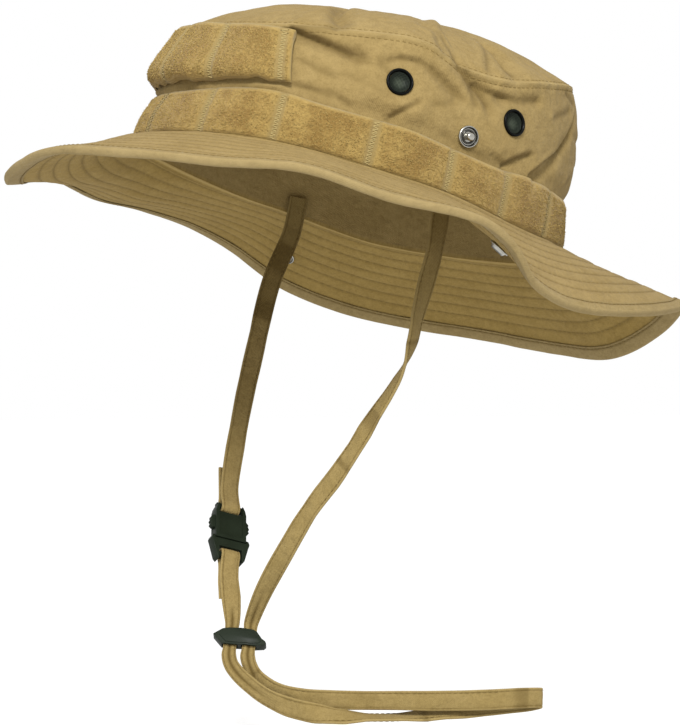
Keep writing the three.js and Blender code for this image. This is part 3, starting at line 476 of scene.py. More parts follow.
def brim_wave(angle, share):
    """The loose ripples of the brim, none at its root."""
    reach = share * BRIM_WIDTH
    loose = np.clip(reach / 10, 0, 1)
    return loose * (0.5 * broad_ripple(angle, reach + 300) + 0.12 * small_ripple(angle, reach + 300))


def brim_skin(angle, share, side):
    """One face of the brim, above (1) or below (-1)."""
    off = side * (BRIM_THICK / 2 + quilting(angle, share)) + brim_wave(angle, share)
    return brim_point(angle, share, off + (rolled_seam(share) if side > 0 else 0))


def to_row(points):
    """From the hat's own frame, in millimetres, to the pitched hat, in metres."""
    x, y, z = np.moveaxis(np.asarray(points, float), -1, 0)
    c, s = math.cos(PITCH), math.sin(PITCH)
    return np.stack([x, y * c + z * s, -y * s + z * c], -1) * MM


# ---------------------------------------------------------------- meshes
def linked(name, mesh, material, nodes=()):
    """A finished piece: it rides with the hat, and takes the place of the named nodes."""
    piece = added(name, mesh)
    settle(piece, material, nodes)
    return piece


def settle(piece, material, nodes=()):
    """The material, body and nodes of a finished piece."""
    piece.data.materials.clear()
    piece.data.materials.append(material)
    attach(piece, "root")
    if nodes:
        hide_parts(*nodes)


def mesh_of(name, points, faces, uv=None, values=None, smooth=True):
    """A mesh from points, faces, a place on the cloth for each corner and values for each point."""
    used, again = np.unique(np.concatenate([np.ravel(face) for face in faces]), return_inverse=True)
    corners = np.split(again, np.cumsum([np.size(face) for face in faces])[:-1])
    shaped = [corner.reshape(np.shape(face)) for corner, face in zip(corners, faces)]
    mesh = bpy.data.meshes.new(name)
    mesh.from_pydata(points[used].tolist(), [], [row for block in shaped for row in block.tolist()])
    if uv is not None:
        layer = mesh.uv_layers.new(name="cloth_lay")
        layer.data.foreach_set("uv", np.concatenate([np.reshape(part, -1) for part in uv]))
    for key, value in (values or {}).items():
        attribute = mesh.attributes.new(key, "FLOAT", "POINT")
        attribute.data.foreach_set("value", np.asarray(value, float).ravel()[used])
    mesh.polygons.foreach_set("use_smooth", np.full(len(mesh.polygons), smooth))
    mesh.update()
    if smooth:
        mesh.set_sharp_from_angle(angle=math.radians(60))
    return mesh


def both_faces(**values):
    """The same values for the points of a sheet's outer and inner face."""
    return {key: np.tile(value.ravel(), 2) for key, value in values.items()}


def sheet_mesh(name, outer, inner, u, v, wrap=True, capped=False, keep=None, values=None):
    """A closed mesh between two faces of rows and columns. u and v place them on the flat cloth."""
    rows, columns = outer.shape[:2]
    count = rows * columns
    points = np.concatenate([outer.reshape(-1, 3), inner.reshape(-1, 3)])
    wide = columns if wrap else columns - 1
    j, i = np.meshgrid(np.arange(rows - 1), np.arange(wide), indexing="ij")
    right = (i + 1) % columns
    low, high = j * columns, (j + 1) * columns
    quads = np.stack([low + i, low + right, high + right, high + i], -1)
    lay = np.stack(
        [np.stack([u[j, i], v[j, i]], -1), np.stack([u[j, i + 1], v[j, i + 1]], -1),
         np.stack([u[j + 1, i + 1], v[j + 1, i + 1]], -1), np.stack([u[j + 1, i], v[j + 1, i]], -1)], -2)
    kept = np.ones((rows - 1, wide), bool) if keep is None else keep
    faces = [quads[kept], quads[kept][:, ::-1] + count]
    uv = [lay[kept], lay[kept][:, ::-1]]
    padded = np.zeros((rows + 1, wide + 2), bool)
    padded[1:-1, 1:-1] = kept
    if wrap:
        padded[1:-1, 0], padded[1:-1, -1] = kept[:, -1], kept[:, 0]
    neighbours = (padded[:-2, 1:-1], padded[1:-1, 2:], padded[2:, 1:-1], padded[1:-1, :-2])
    for p, beside in enumerate(neighbours):
        q = (p + 1) % 4
        if capped and p == 2:
            beside = beside.copy()
            beside[-1] = True
        open_side = kept & ~beside
        a, b = quads[open_side][:, p], quads[open_side][:, q]
        faces.append(np.stack([b, a, a + count, b + count], -1))
        lay_a, lay_b = lay[open_side][:, p], lay[open_side][:, q]
        uv.append(np.stack([lay_b, lay_a, lay_a, lay_b], -2))
    if capped:
        points = np.concatenate([points, [outer[-1].mean(0), inner[-1].mean(0)]])
        i = np.arange(columns)
        last = (rows - 1) * columns
        edge, after = last + i, last + (i + 1) % columns
        middle = np.full(columns, 2 * count)
        faces.append(np.stack([edge, after, middle], -1))
        faces.append(np.stack([after + count, edge + count, middle + 1], -1))
        ends = np.stack([u[-1, :-1], v[-1, :-1]], -1)
        nexts = np.stack([u[-1, 1:], v[-1, 1:]], -1)
        tip = (ends + nexts) / 2 + (0, 2)
        uv += [np.stack([ends, nexts, tip], -2), np.stack([nexts, ends, tip], -2)]
        values = {key: np.append(np.asarray(value), [0, 0]) for key, value in (values or {}).items()}
    return mesh_of(name, points, faces, uv, values)


def ring_mesh(name, rings, u, v, closed, values=None):
    """A closed mesh through rings of points, closed on itself or with flat ends."""
    count, sides = rings.shape[:2]
    n = count if closed else count - 1
    i, k = np.meshgrid(np.arange(n), np.arange(sides), indexing="ij")
    ahead, beside = (i + 1) % count, (k + 1) % sides
    quads = np.stack([i * sides + k, i * sides + beside, ahead * sides + beside, ahead * sides + k], -1)
    lay = np.stack(
        [np.stack([u[i], v[k]], -1), np.stack([u[i], v[k + 1]], -1),
         np.stack([u[i + 1], v[k + 1]], -1), np.stack([u[i + 1], v[k]], -1)], -2)
    faces, uv = [quads.reshape(-1, 4)], [lay.reshape(-1, 4, 2)]
    if not closed:
        first, last = np.arange(sides)[::-1][None], (count - 1) * sides + np.arange(sides)[None]
        faces += [first, last]
        uv += [np.zeros((1, sides, 2)), np.zeros((1, sides, 2))]
    return mesh_of(name, rings.reshape(-1, 3), faces, uv, values)


LATHE_SIDES = 48


def lathe_mesh(name, profile, place):
    """A turned piece about the Z of its place; a profile that starts and ends off the axis is a ring."""
    profile = np.array(profile, float)
    turn = np.linspace(0, 2 * np.pi, LATHE_SIDES, endpoint=False)
    radius, height = profile[:, None, 0], profile[:, None, 1]
    rings = np.stack([radius * np.cos(turn), radius * np.sin(turn), height + 0 * turn], -1)
    builder = bmesh.new()
    grid = [[builder.verts.new(point) for point in ring] for ring in rings.tolist()]
    ring_shaped = profile[0, 0] > 0
    count = len(grid) if ring_shaped else len(grid) - 1
    layer = builder.loops.layers.uv.new("cloth_lay")
    for j in range(count):
        for i in range(LATHE_SIDES):
            low, high, after = grid[j], grid[(j + 1) % len(grid)], (i + 1) % LATHE_SIDES
            face = builder.faces.new([low[i], low[after], high[after], high[i]])
            for corner in face.loops:
                corner[layer].uv = corner.vert.co.xy
    bmesh.ops.remove_doubles(builder, verts=builder.verts, dist=1e-5)
    bmesh.ops.recalc_face_normals(builder, faces=builder.faces)
    mesh = bpy.data.meshes.new(name)
    builder.to_mesh(mesh)
    builder.free()
    mesh.transform(place)
    mesh.polygons.foreach_set("use_smooth", np.full(len(mesh.polygons), True))
    mesh.set_sharp_from_angle(angle=math.radians(50))
    return mesh


def place_of(point, up, along):
    """Where a turned piece stands: its Z is up at the point, in the hat's own millimetres."""
    z = unit(np.asarray(up, float))
    y = unit(np.cross(z, along))
    x = np.cross(y, z)
    frame_rows = np.stack([to_row(x) / MM, to_row(y) / MM, to_row(z) / MM], 1) * MM
    place = Matrix.Identity(4)
    for r in range(3):
        for c in range(3):
            place[r][c] = frame_rows[r, c]
        place[r][3] = to_row(point)[r]
    return place


# ---------------------------------------------------------------- shader building
class Value:
    """One output of a node, on which arithmetic adds the nodes that do it."""

    def __init__(self, finish, socket):
        self.finish, self.socket = finish, socket

    def math(self, operation, *others):
        return self.finish.add("ShaderNodeMath", {"operation": operation}, dict(enumerate((self, *others))))

    def __add__(self, other):
        return self.math("ADD", other)

    def __mul__(self, other):
        return self.math("MULTIPLY", other)

    def __sub__(self, other):
        return self.math("SUBTRACT", other)

    def __rsub__(self, other):
        return self.math("MULTIPLY", -1.0) + other

    def __pow__(self, other):
        return self.math("POWER", other)

    def sine(self):
        return self.math("SINE")

    def size(self):
        return self.math("ABSOLUTE")


class Finish:
    """A material: one surface shader and the nodes that vary it."""

    def __init__(self, name, **sockets):
        self.material = bpy.data.materials.new(name)
        self.material.use_nodes = True
        self.tree = self.material.node_tree
        self.surface = self.tree.nodes["Principled BSDF"]
        for key, value in sockets.items():
            self.surface.inputs[key.replace("_", " ")].default_value = value

    def add(self, kind, settings=None, inputs=None, output=0):
        node = self.tree.nodes.new(kind)
        for key, value in (settings or {}).items():
            setattr(node, key, value)
        for key, value in (inputs or {}).items():
            self.feed(node.inputs[key], value)
        return Value(self, node.outputs[output])

    def feed(self, socket, value):
        if isinstance(value, Value):
            self.tree.links.new(value.socket, socket)
        else:
            socket.default_value = value

    def lay(self):
        """Place on the flat cloth, in millimetres: along it and across it."""
        place = self.add("ShaderNodeUVMap", {"uv_map": "cloth_lay"})
        parts = self.tree.nodes.new("ShaderNodeSeparateXYZ")
        self.feed(parts.inputs[0], place)
        return place, Value(self, parts.outputs[0]), Value(self, parts.outputs[1])

    def solid(self):
        """Place in the object itself, in metres."""
        return self.add("ShaderNodeTexCoord", output=3)

    def noise(self, vector, size, detail=2.0, roughness=0.5):
        """Irregular patches of a given size, from 0 to 1."""
        inputs = {"Vector": vector, "Scale": 1 / size, "Detail": detail, "Roughness": roughness}
        return self.add("ShaderNodeTexNoise", None, inputs)

    def spread(self, value, low, high, to_low=0.0, to_high=1.0):
        """A value's range from low to high, stretched over another and held at its ends."""
        inputs = {"Value": value, "From Min": low, "From Max": high, "To Min": to_low, "To Max": to_high}
        return self.add("ShaderNodeMapRange", {"clamp": True}, inputs)

    def mix(self, share, first, second, blend="MIX"):
        """Two colours mixed; the second is laid over the first."""
        settings = {"data_type": "RGBA", "blend_type": blend, "clamp_factor": True}
        return self.add("ShaderNodeMix", settings, {0: share, 6: tone(first), 7: tone(second)}, 2)

    def value(self, name):
        """A value that the mesh carries; 0 where it carries none."""
        return self.add("ShaderNodeAttribute", {"attribute_name": name}, output=2)

    def bump(self, height, distance, strength=1.0, over=None):
        inputs = {"Height": height, "Distance": distance, "Strength": strength}
        if over:
            inputs["Normal"] = over
        return self.add("ShaderNodeBump", None, inputs)

    def paint(self, **outputs):
        for key, value in outputs.items():
            self.feed(self.surface.inputs[key.replace("_", " ")], value)
        return self.material


def tone(colour):
    return colour if isinstance(colour, Value) else (*colour, 1)


def srgb(*colour):
    """A colour as the eye reads it, 0 to 255, as light."""
    return tuple(((c / 255 + 0.055) / 1.055) ** 2.4 if c > 10.3 else c / 255 / 12.92 for c in colour)


def scaled(colour, share):
    return tuple(c * share for c in colour)


KHAKI = srgb(132, 112, 69)
KHAKI_PALE = srgb(148, 128, 84)
KHAKI_DEEP = srgb(95, 78, 43)
# painted shade: a warmer, darker tint for the brim's underside
UNDERSIDE_SHADE_TINT = (1, 0.955, 0.72)
PILE_GOLD = srgb(151, 126, 71)
PILE_BROWN = srgb(114, 87, 40)
SELVAGE = srgb(147, 126, 76)
SEWN_PILE = srgb(134, 115, 71)


def woven_cloth(name, yarn, pale, deep, weave=0.55):
    """Washed cotton twill: fine diagonal ribs, flecked yarn, faded raised parts with some painted highlight,
    painted shade in creases and grooves, and a painted shade tint under the brim.
    """
    finish = Finish(name, Roughness=0.9, Sheen_Weight=0.02, Sheen_Roughness=0.6, Specular_IOR_Level=0.1)
    place, along, across = finish.lay()
    body = finish.solid()
    warp = (along * (2 * math.pi / weave)).sine()
    weft = (across * (2 * math.pi / weave)).sine()
    twill = ((along + across) * (math.pi / weave)).sine()
    fleck = finish.noise(place, 0.8, 3, 0.75)
    slub = finish.noise(place, 3.2, 3, 0.6)
    fade = finish.noise(body, 0.02, 3, 0.6)
    worn = finish.value("worn")
    deepened = finish.value("deepened")
    colour = finish.mix(finish.spread(fade, 0.35, 0.7, 0, 0.4), yarn, pale)
    colour = finish.mix(finish.spread(slub, 0.45, 0.7, 0, 0.25), colour, deep)
    colour = finish.mix(finish.spread(slub, 0.45, 0.3, 0, 0.25), colour, pale)
    colour = finish.mix(finish.spread(fleck, 0.45, 0.7, 0, 0.28), colour, deep)
    # paler where worn; along the hem's fold and on the brim's rolled seam this is also a painted highlight
    colour = finish.mix(worn, colour, pale)
    # painted shade: darker in creases, folds, seams and stitched grooves, where shade falls
    colour = finish.mix(deepened, colour, deep)
    # painted shade: the brim's underside is tinted warmer and darker
    colour = finish.mix(finish.value("underside_shade"), colour, UNDERSIDE_SHADE_TINT, "MULTIPLY")
    ribs = twill * 0.6 + warp * weft * 0.4 + fleck * 1.5
    soft = finish.bump(slub + finish.noise(body, 0.006, 3) * 2, 0.0006, 0.7)
    return finish.paint(Base_Color=colour, Roughness=finish.spread(fleck, 0.3, 0.7, 0.82, 0.95),
                        Normal=finish.bump(ribs, 0.00008, 0.8, soft))


def thread(name, colour):
    """Twisted sewing thread."""
    finish = Finish(name, Roughness=0.8, Specular_IOR_Level=0.12)
    body = finish.solid()
    tint = finish.noise(body, 0.004, 2)
    lighter = tuple(min(1, c * 1.25) for c in colour)
    return finish.paint(Base_Color=finish.mix(tint, scaled(colour, 0.8), lighter),
                        Normal=finish.bump(finish.noise(body, 0.0003, 2), 0.00005))


def loop_pile(name):
    """Brushed loop tape: a matted golden pile with browner rubbed patches and plain woven edges."""
    finish = Finish(name, Roughness=0.95, Sheen_Weight=0.1, Sheen_Roughness=0.5, Specular_IOR_Level=0.15)
    place, _, across = finish.lay()
    edge = finish.value("selvage")
    tuft = finish.noise(place, 1.1, 4, 0.75)
    clump = finish.noise(place, 3.4, 3, 0.65)
    rubbed = finish.noise(place, 11, 3, 0.6)
    matted = finish.spread(rubbed + finish.value("middle") * 0.16, 0.48, 0.7, 0, 0.68)
    colour = finish.mix(matted, PILE_GOLD, PILE_BROWN)
    colour = finish.mix(finish.spread(clump, 0.5, 0.75, 0, 0.5), colour, PILE_BROWN)
    # lighter tips and darker gaps in the pile: random tone, with a painted highlight on the tips and painted
    # shade between them
    colour = finish.mix(finish.spread(tuft, 0.5, 0.75, 0, 0.6), colour, scaled(PILE_GOLD, 1.35))
    colour = finish.mix(finish.spread(tuft, 0.45, 0.25, 0, 0.7), colour, scaled(PILE_BROWN, 0.7))
    ribbed = ((across * (2 * math.pi / 0.5)).sine() * 0.5 + 0.5) * edge
    colour = finish.mix(edge, colour, SELVAGE)
    colour = finish.mix(finish.value("sewn"), colour, SEWN_PILE)
    height = (tuft * 1.6 + clump * 1.2) * (1 - edge) + ribbed * 0.3
    return finish.paint(Base_Color=colour, Normal=finish.bump(height, 0.0007, 0.9))


def moulded(name, colour, roughness):
    """Moulded nylon with a fine spark texture and cloudy patches, lighter and rougher in places."""
    finish = Finish(name, Specular_IOR_Level=0.06)
    body = finish.solid()
    speck = finish.noise(body, 0.0012, 3, 0.6)
    cloudy = finish.noise(body, 0.008, 2)
    shade = finish.mix(finish.spread(cloudy, 0.35, 0.7, 0, 0.6), colour, scaled(colour, 1.4))
    shade = finish.mix(finish.spread(speck, 0.6, 0.8, 0, 0.5), shade, scaled(colour, 1.8))
    rough = finish.spread(cloudy, 0.3, 0.7, roughness, roughness + 0.15)
    return finish.paint(Base_Color=shade, Roughness=rough, Normal=finish.bump(speck, 0.00006, 0.7))


def enamel(name, colour, roughness):
    """Black stove enamel on brass, with faint scuffs."""
    finish = Finish(name, Coat_Weight=0.02, Coat_Roughness=0.15, Specular_IOR_Level=0.06)
    body = finish.solid()
    scuff = finish.noise(body, 0.0016, 4, 0.7)
    shade = finish.mix(finish.spread(scuff, 0.62, 0.78, 0, 0.5), colour, scaled(colour, 4))
    rough = finish.spread(scuff, 0.3, 0.8, roughness, roughness + 0.25)
    return finish.paint(Base_Color=shade, Roughness=rough, Normal=finish.bump(scuff, 0.00003, 0.6))


def vent_gauze(name):
    """Fine woven wire painted dark green, with painted shade in the small holes between crossed wires and a
    painted highlight towards the dish's middle.
    """
    finish = Finish(name, Specular_IOR_Level=0.1)
    place, along, across = finish.lay()
    wires = (along * (math.pi / 0.6)).sine().size() * (across * (math.pi / 0.6)).sine().size()
    radius = (along * along + across * across) ** 0.5
    # painted highlight: the screen is lighter towards the dish's middle
    middle = finish.spread(radius + finish.noise(place, 1.4, 2) * 2, 1.6, 4.2, 1, 0)
    wire = finish.spread(wires, 0.75, 0.35)
    shade = finish.mix(middle, srgb(34, 40, 32), srgb(72, 79, 66))
    # painted shade: the holes between the wires are near black
    shade = finish.mix(wire, srgb(9, 11, 8), shade)
    return finish.paint(Base_Color=shade, Roughness=finish.spread(wire, 0, 1, 0.8, 0.45),
                        Normal=finish.bump(wire, 0.0002, 0.9))


def plated(name, colour, roughness):
    """Nickel plate, duller in patches, with painted shade in the ring-shaped grooves."""
    finish = Finish(name, Metallic=1.0)
    body = finish.solid()
    _, across, up = finish.lay()
    radius = (across * across + up * up) ** 0.5
    # painted shade: near black in the ring-shaped grooves
    groove_shade = finish.spread((radius - 4.1).size(), 0.12, 0.3, 1, 0)
    groove_shade = groove_shade + finish.spread((radius - 2.8).size(), 0.4, 0.65, 0.85, 0)
    dull = finish.noise(body, 0.0025, 3, 0.6)
    fine = finish.noise(body, 0.0003, 2)
    shade = finish.mix(finish.spread(dull, 0.45, 0.75, 0, 0.5), colour, scaled(colour, 0.55))
    shade = finish.mix(groove_shade, shade, scaled(colour, 0.06))
    rough = finish.spread(dull, 0.3, 0.8, roughness, roughness + 0.25)
    return finish.paint(Base_Color=shade, Roughness=rough, Normal=finish.bump(fine, 0.00002, 0.5))


cloth = woven_cloth("khaki_cotton", KHAKI, KHAKI_PALE, KHAKI_DEEP)
hem_cloth = woven_cloth("hem_cotton", srgb(131, 113, 73), srgb(149, 131, 91), KHAKI_DEEP)
tape_cloth = woven_cloth("strap_cotton", srgb(134, 115, 70), srgb(150, 131, 86), srgb(94, 77, 40), 0.5)
cotton_thread = thread("cotton_thread", srgb(112, 93, 52))
pile = loop_pile("loop_pile")
pile_tips = thread("pile_tips", srgb(156, 133, 80))
tack_thread = thread("tack_thread", srgb(154, 137, 92))
# dark beads: painted shade in the needle holes
tack_hole_shade = thread("tack_hole_shade", scaled(PILE_BROWN, 0.3))
nylon = moulded("dark_nylon", srgb(27, 33, 24), 0.35)
black_enamel = enamel("black_enamel", srgb(6, 7, 6), 0.25)
gauze = vent_gauze("vent_gauze")
nickel = plated("nickel_plate", (0.4, 0.39, 0.35), 0.16)


# ---------------------------------------------------------------- sewn and repeated shapes
def bead_tree():
    """Small rounded bars, one on each point, turned by the point's own along and out directions."""
    tree = bpy.data.node_groups.new("rounded_bars", "GeometryNodeTree")
    named = tree.interface.new_socket
    named("Geometry", in_out="INPUT", socket_type="NodeSocketGeometry")
    sockets = {"Sides": named("Sides", in_out="INPUT", socket_type="NodeSocketInt"),
               "Rings": named("Rings", in_out="INPUT", socket_type="NodeSocketInt"),
               "Thread": named("Thread", in_out="INPUT", socket_type="NodeSocketMaterial")}
    for key in ("Length", "Width", "Height"):
        sockets[key] = named(key, in_out="INPUT", socket_type="NodeSocketFloat")
    named("Geometry", in_out="OUTPUT", socket_type="NodeSocketGeometry")

    def node(kind, settings=None, inputs=None):
        made = tree.nodes.new(kind)
        for key, value in (settings or {}).items():
            setattr(made, key, value)
        for key, value in (inputs or {}).items():
            if isinstance(value, bpy.types.NodeSocket):
                tree.links.new(value, made.inputs[key])
            else:
                made.inputs[key].default_value = value
        return made.outputs

    given = node("NodeGroupInput")
    ball = node("GeometryNodeMeshUVSphere", None,
                {"Segments": given["Sides"], "Rings": given["Rings"], "Radius": 0.5})
    size = node("ShaderNodeCombineXYZ", None, {0: given["Height"], 1: given["Width"], 2: given["Length"]})
    bar = node("GeometryNodeTransform", None, {"Geometry": ball[0], "Scale": size[0]})
    along = node("GeometryNodeInputNamedAttribute", {"data_type": "FLOAT_VECTOR"}, {"Name": "along"})
    out = node("GeometryNodeInputNamedAttribute", {"data_type": "FLOAT_VECTOR"}, {"Name": "out"})
    share = node("GeometryNodeInputNamedAttribute", {"data_type": "FLOAT"}, {"Name": "share"})
    first = node("FunctionNodeAlignRotationToVector", {"axis": "Z"}, {"Vector": along[0]})
    turned = node("FunctionNodeAlignRotationToVector", {"axis": "X", "pivot_axis": "Z"},
                  {"Rotation": first[0], "Vector": out[0]})
    placed = node("GeometryNodeInstanceOnPoints", None,
                  {"Points": given["Geometry"], "Instance": bar[0], "Rotation": turned[0], "Scale": share[0]})
    real = node("GeometryNodeRealizeInstances", None, {"Geometry": placed[0]})
    dressed = node("GeometryNodeSetMaterial", None, {"Geometry": real[0], "Material": given["Thread"]})
    node("NodeGroupOutput", None, {0: dressed[0]})
    return tree, sockets


BARS, BAR_SOCKETS = bead_tree()


def applied(piece):
    """The piece's modifiers worked into a plain, smooth-shaded mesh."""
    plain = bpy.data.meshes.new_from_object(piece.evaluated_get(bpy.context.evaluated_depsgraph_get()))
    piece.modifiers.clear()
    piece.data = plain
    plain.polygons.foreach_set("use_smooth", np.full(len(plain.polygons), True))
    return plain


def bars(name, points, along, out, size, material, slot, sides=6, rings=3, share=None):
    """Stitches, tufts or fibres as one mesh: a bar of the size (length, width, height) on each point."""
    guide = bpy.data.meshes.new(name)
    guide.from_pydata(points.tolist(), [], [])
    for key, vectors in (("along", along), ("out", out)):
        guide.attributes.new(key, "FLOAT_VECTOR", "POINT").data.foreach_set("vector", np.ravel(vectors))
    shares = np.ones(len(points)) if share is None else share
    guide.attributes.new("share", "FLOAT", "POINT").data.foreach_set("value", shares)
    piece = added(name, guide)
    modifier = piece.modifiers.new("bars", "NODES")
    modifier.node_group = BARS
    given = {"Sides": sides, "Rings": rings, "Thread": material}
    given.update(zip(("Length", "Width", "Height"), (side * MM for side in size)))
    for key, value in given.items():
        modifier[BAR_SOCKETS[key].identifier] = value
    plain = applied(piece)
    for key in ("along", "out", "share"):
        if key in plain.attributes:
            plain.attributes.remove(plain.attributes[key])
    settle(piece, material)
    return piece


def stitch_row(skin, out, spacing):
    """A row of stitches round the hat: places at an even spacing on a line given by its angle."""
    fine = np.arange(0, 360.01, 0.25)
    line = to_row(skin(fine))
    gone = gone_along(line) / MM
    count = int(gone[-1] / spacing)
    angle = np.interp((np.arange(count) + 0.5) * gone[-1] / count, gone, fine)
    point = to_row(skin(angle))
    along = unit(to_row(skin(angle + 0.2)) - to_row(skin(angle - 0.2)))
    raised = unit(to_row(out(angle)) - point)
    return point, along, raised


def joined(*groups):
    return [np.concatenate(parts) for parts in zip(*groups)]


# ---------------------------------------------------------------- crown
COLUMNS = 560
column_angles = np.arange(COLUMNS) * 360 / COLUMNS
closed_angles = np.arange(COLUMNS + 1) * 360 / COLUMNS


def painted_crease_shade(angle, height):
    """How much painted shade lies in the creases and folds."""
    side = mirrored(angle)
    deep = creases(side, height)[1] * 0.6 + np.clip(fold_sum(side, height), 0, 3) * 0.08
    return np.clip(deep, 0, 0.85)


def with_holes(angle, height, holes):
    """Places on the wall moved off each hole's rim, and the faces that the holes take away."""
    inside = np.zeros(angle.shape, bool)
    angle, height = angle.copy(), height.copy()
    for spot, level, radius in holes:
        turn = (angle - spot + 180) % 360 - 180
        x, y = turn * per_degree(spot), height - level
        distance = np.hypot(x, y)
        within = distance < radius
        inside |= within
        grow = np.where(within & (distance > 0.01), radius / np.maximum(distance, 0.01), 1)
        angle = np.where(within, spot + x * grow / per_degree(spot), angle)
        height = np.where(within, level + y * grow, height)
    j = np.arange(angle.shape[0] - 1)[:, None]
    i = np.arange(angle.shape[1])[None]
    after = (i + 1) % angle.shape[1]
    gone = inside[j, i] & inside[j, after] & inside[j + 1, i] & inside[j + 1, after]
    return angle, height, ~gone


def wall_places():
    """Even rows behind the band, then rows that rise with the seam."""
    low = np.linspace(0, BAND_HIGH, 15)
    shares = np.linspace(0, 1, 47)[1:]
    seam = seam_at(column_angles)
    rows = [np.full(COLUMNS, height) for height in low]
    rows += [BAND_HIGH + share * (seam - BAND_HIGH) for share in shares]
    return np.tile(column_angles, (len(rows), 1)), np.array(rows)


def crown_wall():
    holes = [(spot, VENT_HEIGHT, VENT_HOLE + 0.2) for spot in VENT_ANGLES]
    holes += [(SNAP_ANGLE, SNAP_HEIGHT, SNAP_HOLE + 0.4)]
    both_sides = [(turn, level, radius) for spot, level, radius in holes for turn in (spot, 360 - spot)]
    moved, lifted, keep = with_holes(*wall_places(), both_sides)
    outer = crown_skin(moved, lifted)
    inner = crown_point(moved, lifted, -CLOTH + softness(moved, lifted))
    u = np.concatenate([length_at(np.mod(moved, 360.0001)), np.full((len(moved), 1), FOOT_LENGTH)], 1)
    v = np.concatenate([lifted, lifted[:, :1]], 1)
    near_seam = bell(seam_at(moved) - lifted, 1.2)
    worn = np.clip(0.7 * near_seam + 0.25 * small_ripple(moved, lifted), 0, 1)
    # painted shade in the creases and folds
    deepened = painted_crease_shade(moved, lifted)
    values = both_faces(worn=worn, deepened=deepened)
    mesh = sheet_mesh("crown_wall_cloth", to_row(outer), to_row(inner), u, v, keep=keep, values=values)
    linked("crown_wall_cloth", mesh, cloth, ["crown_wall"])


def crown_top():
    shares = (np.arange(44) / 44) ** 1.35
    angle, share = np.meshgrid(column_angles, shares)
    outer = top_skin(angle, share)
    seam_inner = crown_point(column_angles, seam_at(column_angles), -CLOTH) + (0, 0, SEWN)
    round_way = np.roll(outer, -1, 1) - np.roll(outer, 1, 1)
    rise = np.gradient(outer, axis=0)
    inner = outer - unit(np.cross(round_way, rise)) * CLOTH
    ease = np.clip(np.arange(len(shares)) / 5, 0, 1)[:, None, None]
    inner = inner * ease + (outer + (seam_inner - outer[0])) * (1 - ease)
    closed, _ = np.meshgrid(closed_angles, shares)
    reach = (1 - shares[:, None]) * 92
    u, v = reach * np.sin(np.radians(closed)), -reach * np.cos(np.radians(closed))
    near_seam = bell(share * HEAD_WIDTH, 1.2)
    worn = np.clip(0.7 * near_seam + 0.2 * small_ripple(angle, share * 60), 0, 1)
    # painted shade in the creases, fading towards the top's middle
    deepened = painted_crease_shade(angle, seam_at(angle) + share * HEAD_WIDTH) * (1 - share)
    values = both_faces(worn=worn, deepened=deepened)
    mesh = sheet_mesh("crown_top_cloth", to_row(outer), to_row(inner), u, v, capped=True, values=values)
    linked("crown_top_cloth", mesh, cloth, ["crown_top"])


def crown_stitches():
    """A row of stitches on each side of the top seam."""
    def below(angle, lift=0.12):
        return crown_skin(angle, seam_at(angle) - WELT_LOW, lift)

    def above(angle, lift=0.12):
        point = top_skin(angle, np.full(np.shape(angle), WELT_HIGH / HEAD_WIDTH))
        return point + unit(outward(angle) + np.array([0, 0, 1.0])) * lift

    rows = [stitch_row(skin, lambda angle, skin=skin: skin(angle, 1), 2.7) for skin in (below, above)]
    point, along, out = joined(*rows)
    bars("crown_seam_stitches", point, along, out, (2.1, 0.45, 0.4), cotton_thread, "cloth")


crown_wall()
crown_top()
crown_stitches()


# ---------------------------------------------------------------- brim and hem
def brim():
    shares = np.concatenate([np.linspace(1, 0.12, 63), np.linspace(0.115, 0, 20)])
    angle, share = np.meshgrid(column_angles, shares)
    above, under = brim_skin(angle, share, 1), brim_skin(angle, share, -1)
    closed, _ = np.meshgrid(closed_angles, shares)
    turn = 2 * np.pi * length_at(closed) / FOOT_LENGTH
    radius = FOOT_LENGTH / (2 * np.pi) + shares[:, None] * BRIM_WIDTH
    u, v = radius * np.sin(turn), radius * np.cos(turn)
    # painted shade along the stitched rows and in the groove beyond the rolled seam
    deepened = 0.5 * np.maximum(bell(from_row(share), 0.7), bell(from_crown(share) - ROLL_GROOVE, 0.6))
    # paler on top of the rolled seam: wear, and a painted highlight
    rubbed = bell(share * BRIM_WIDTH - 2.9, 1.3)
    worn = np.clip(0.3 * edge_ripple(angle, share * BRIM_WIDTH) + rubbed, 0, 1)
    values = both_faces(worn=worn, deepened=deepened)
    # painted shade tint on the brim's underside
    values["underside_shade"] = np.repeat([0.0, 1.0], share.size)
    mesh = sheet_mesh("brim_cloth", to_row(above), to_row(under), u, v, values=values)
    linked("brim_cloth", mesh, cloth, ["brim"])


def brim_stitches():
    rows = [
        stitch_row(lambda a, s=row / BRIM_WIDTH, k=side: brim_skin(a, np.full(np.shape(a), s), k),
                   lambda a, s=row / BRIM_WIDTH, k=side: brim_point(a, s, k * 3.0), 3.3)
        for side in (1, -1) for row in BRIM_ROWS
    ]
    point, along, out = joined(*rows)
    bars("brim_stitches", point, along, out, (2.5, 0.5, 0.42), cotton_thread, "cloth")


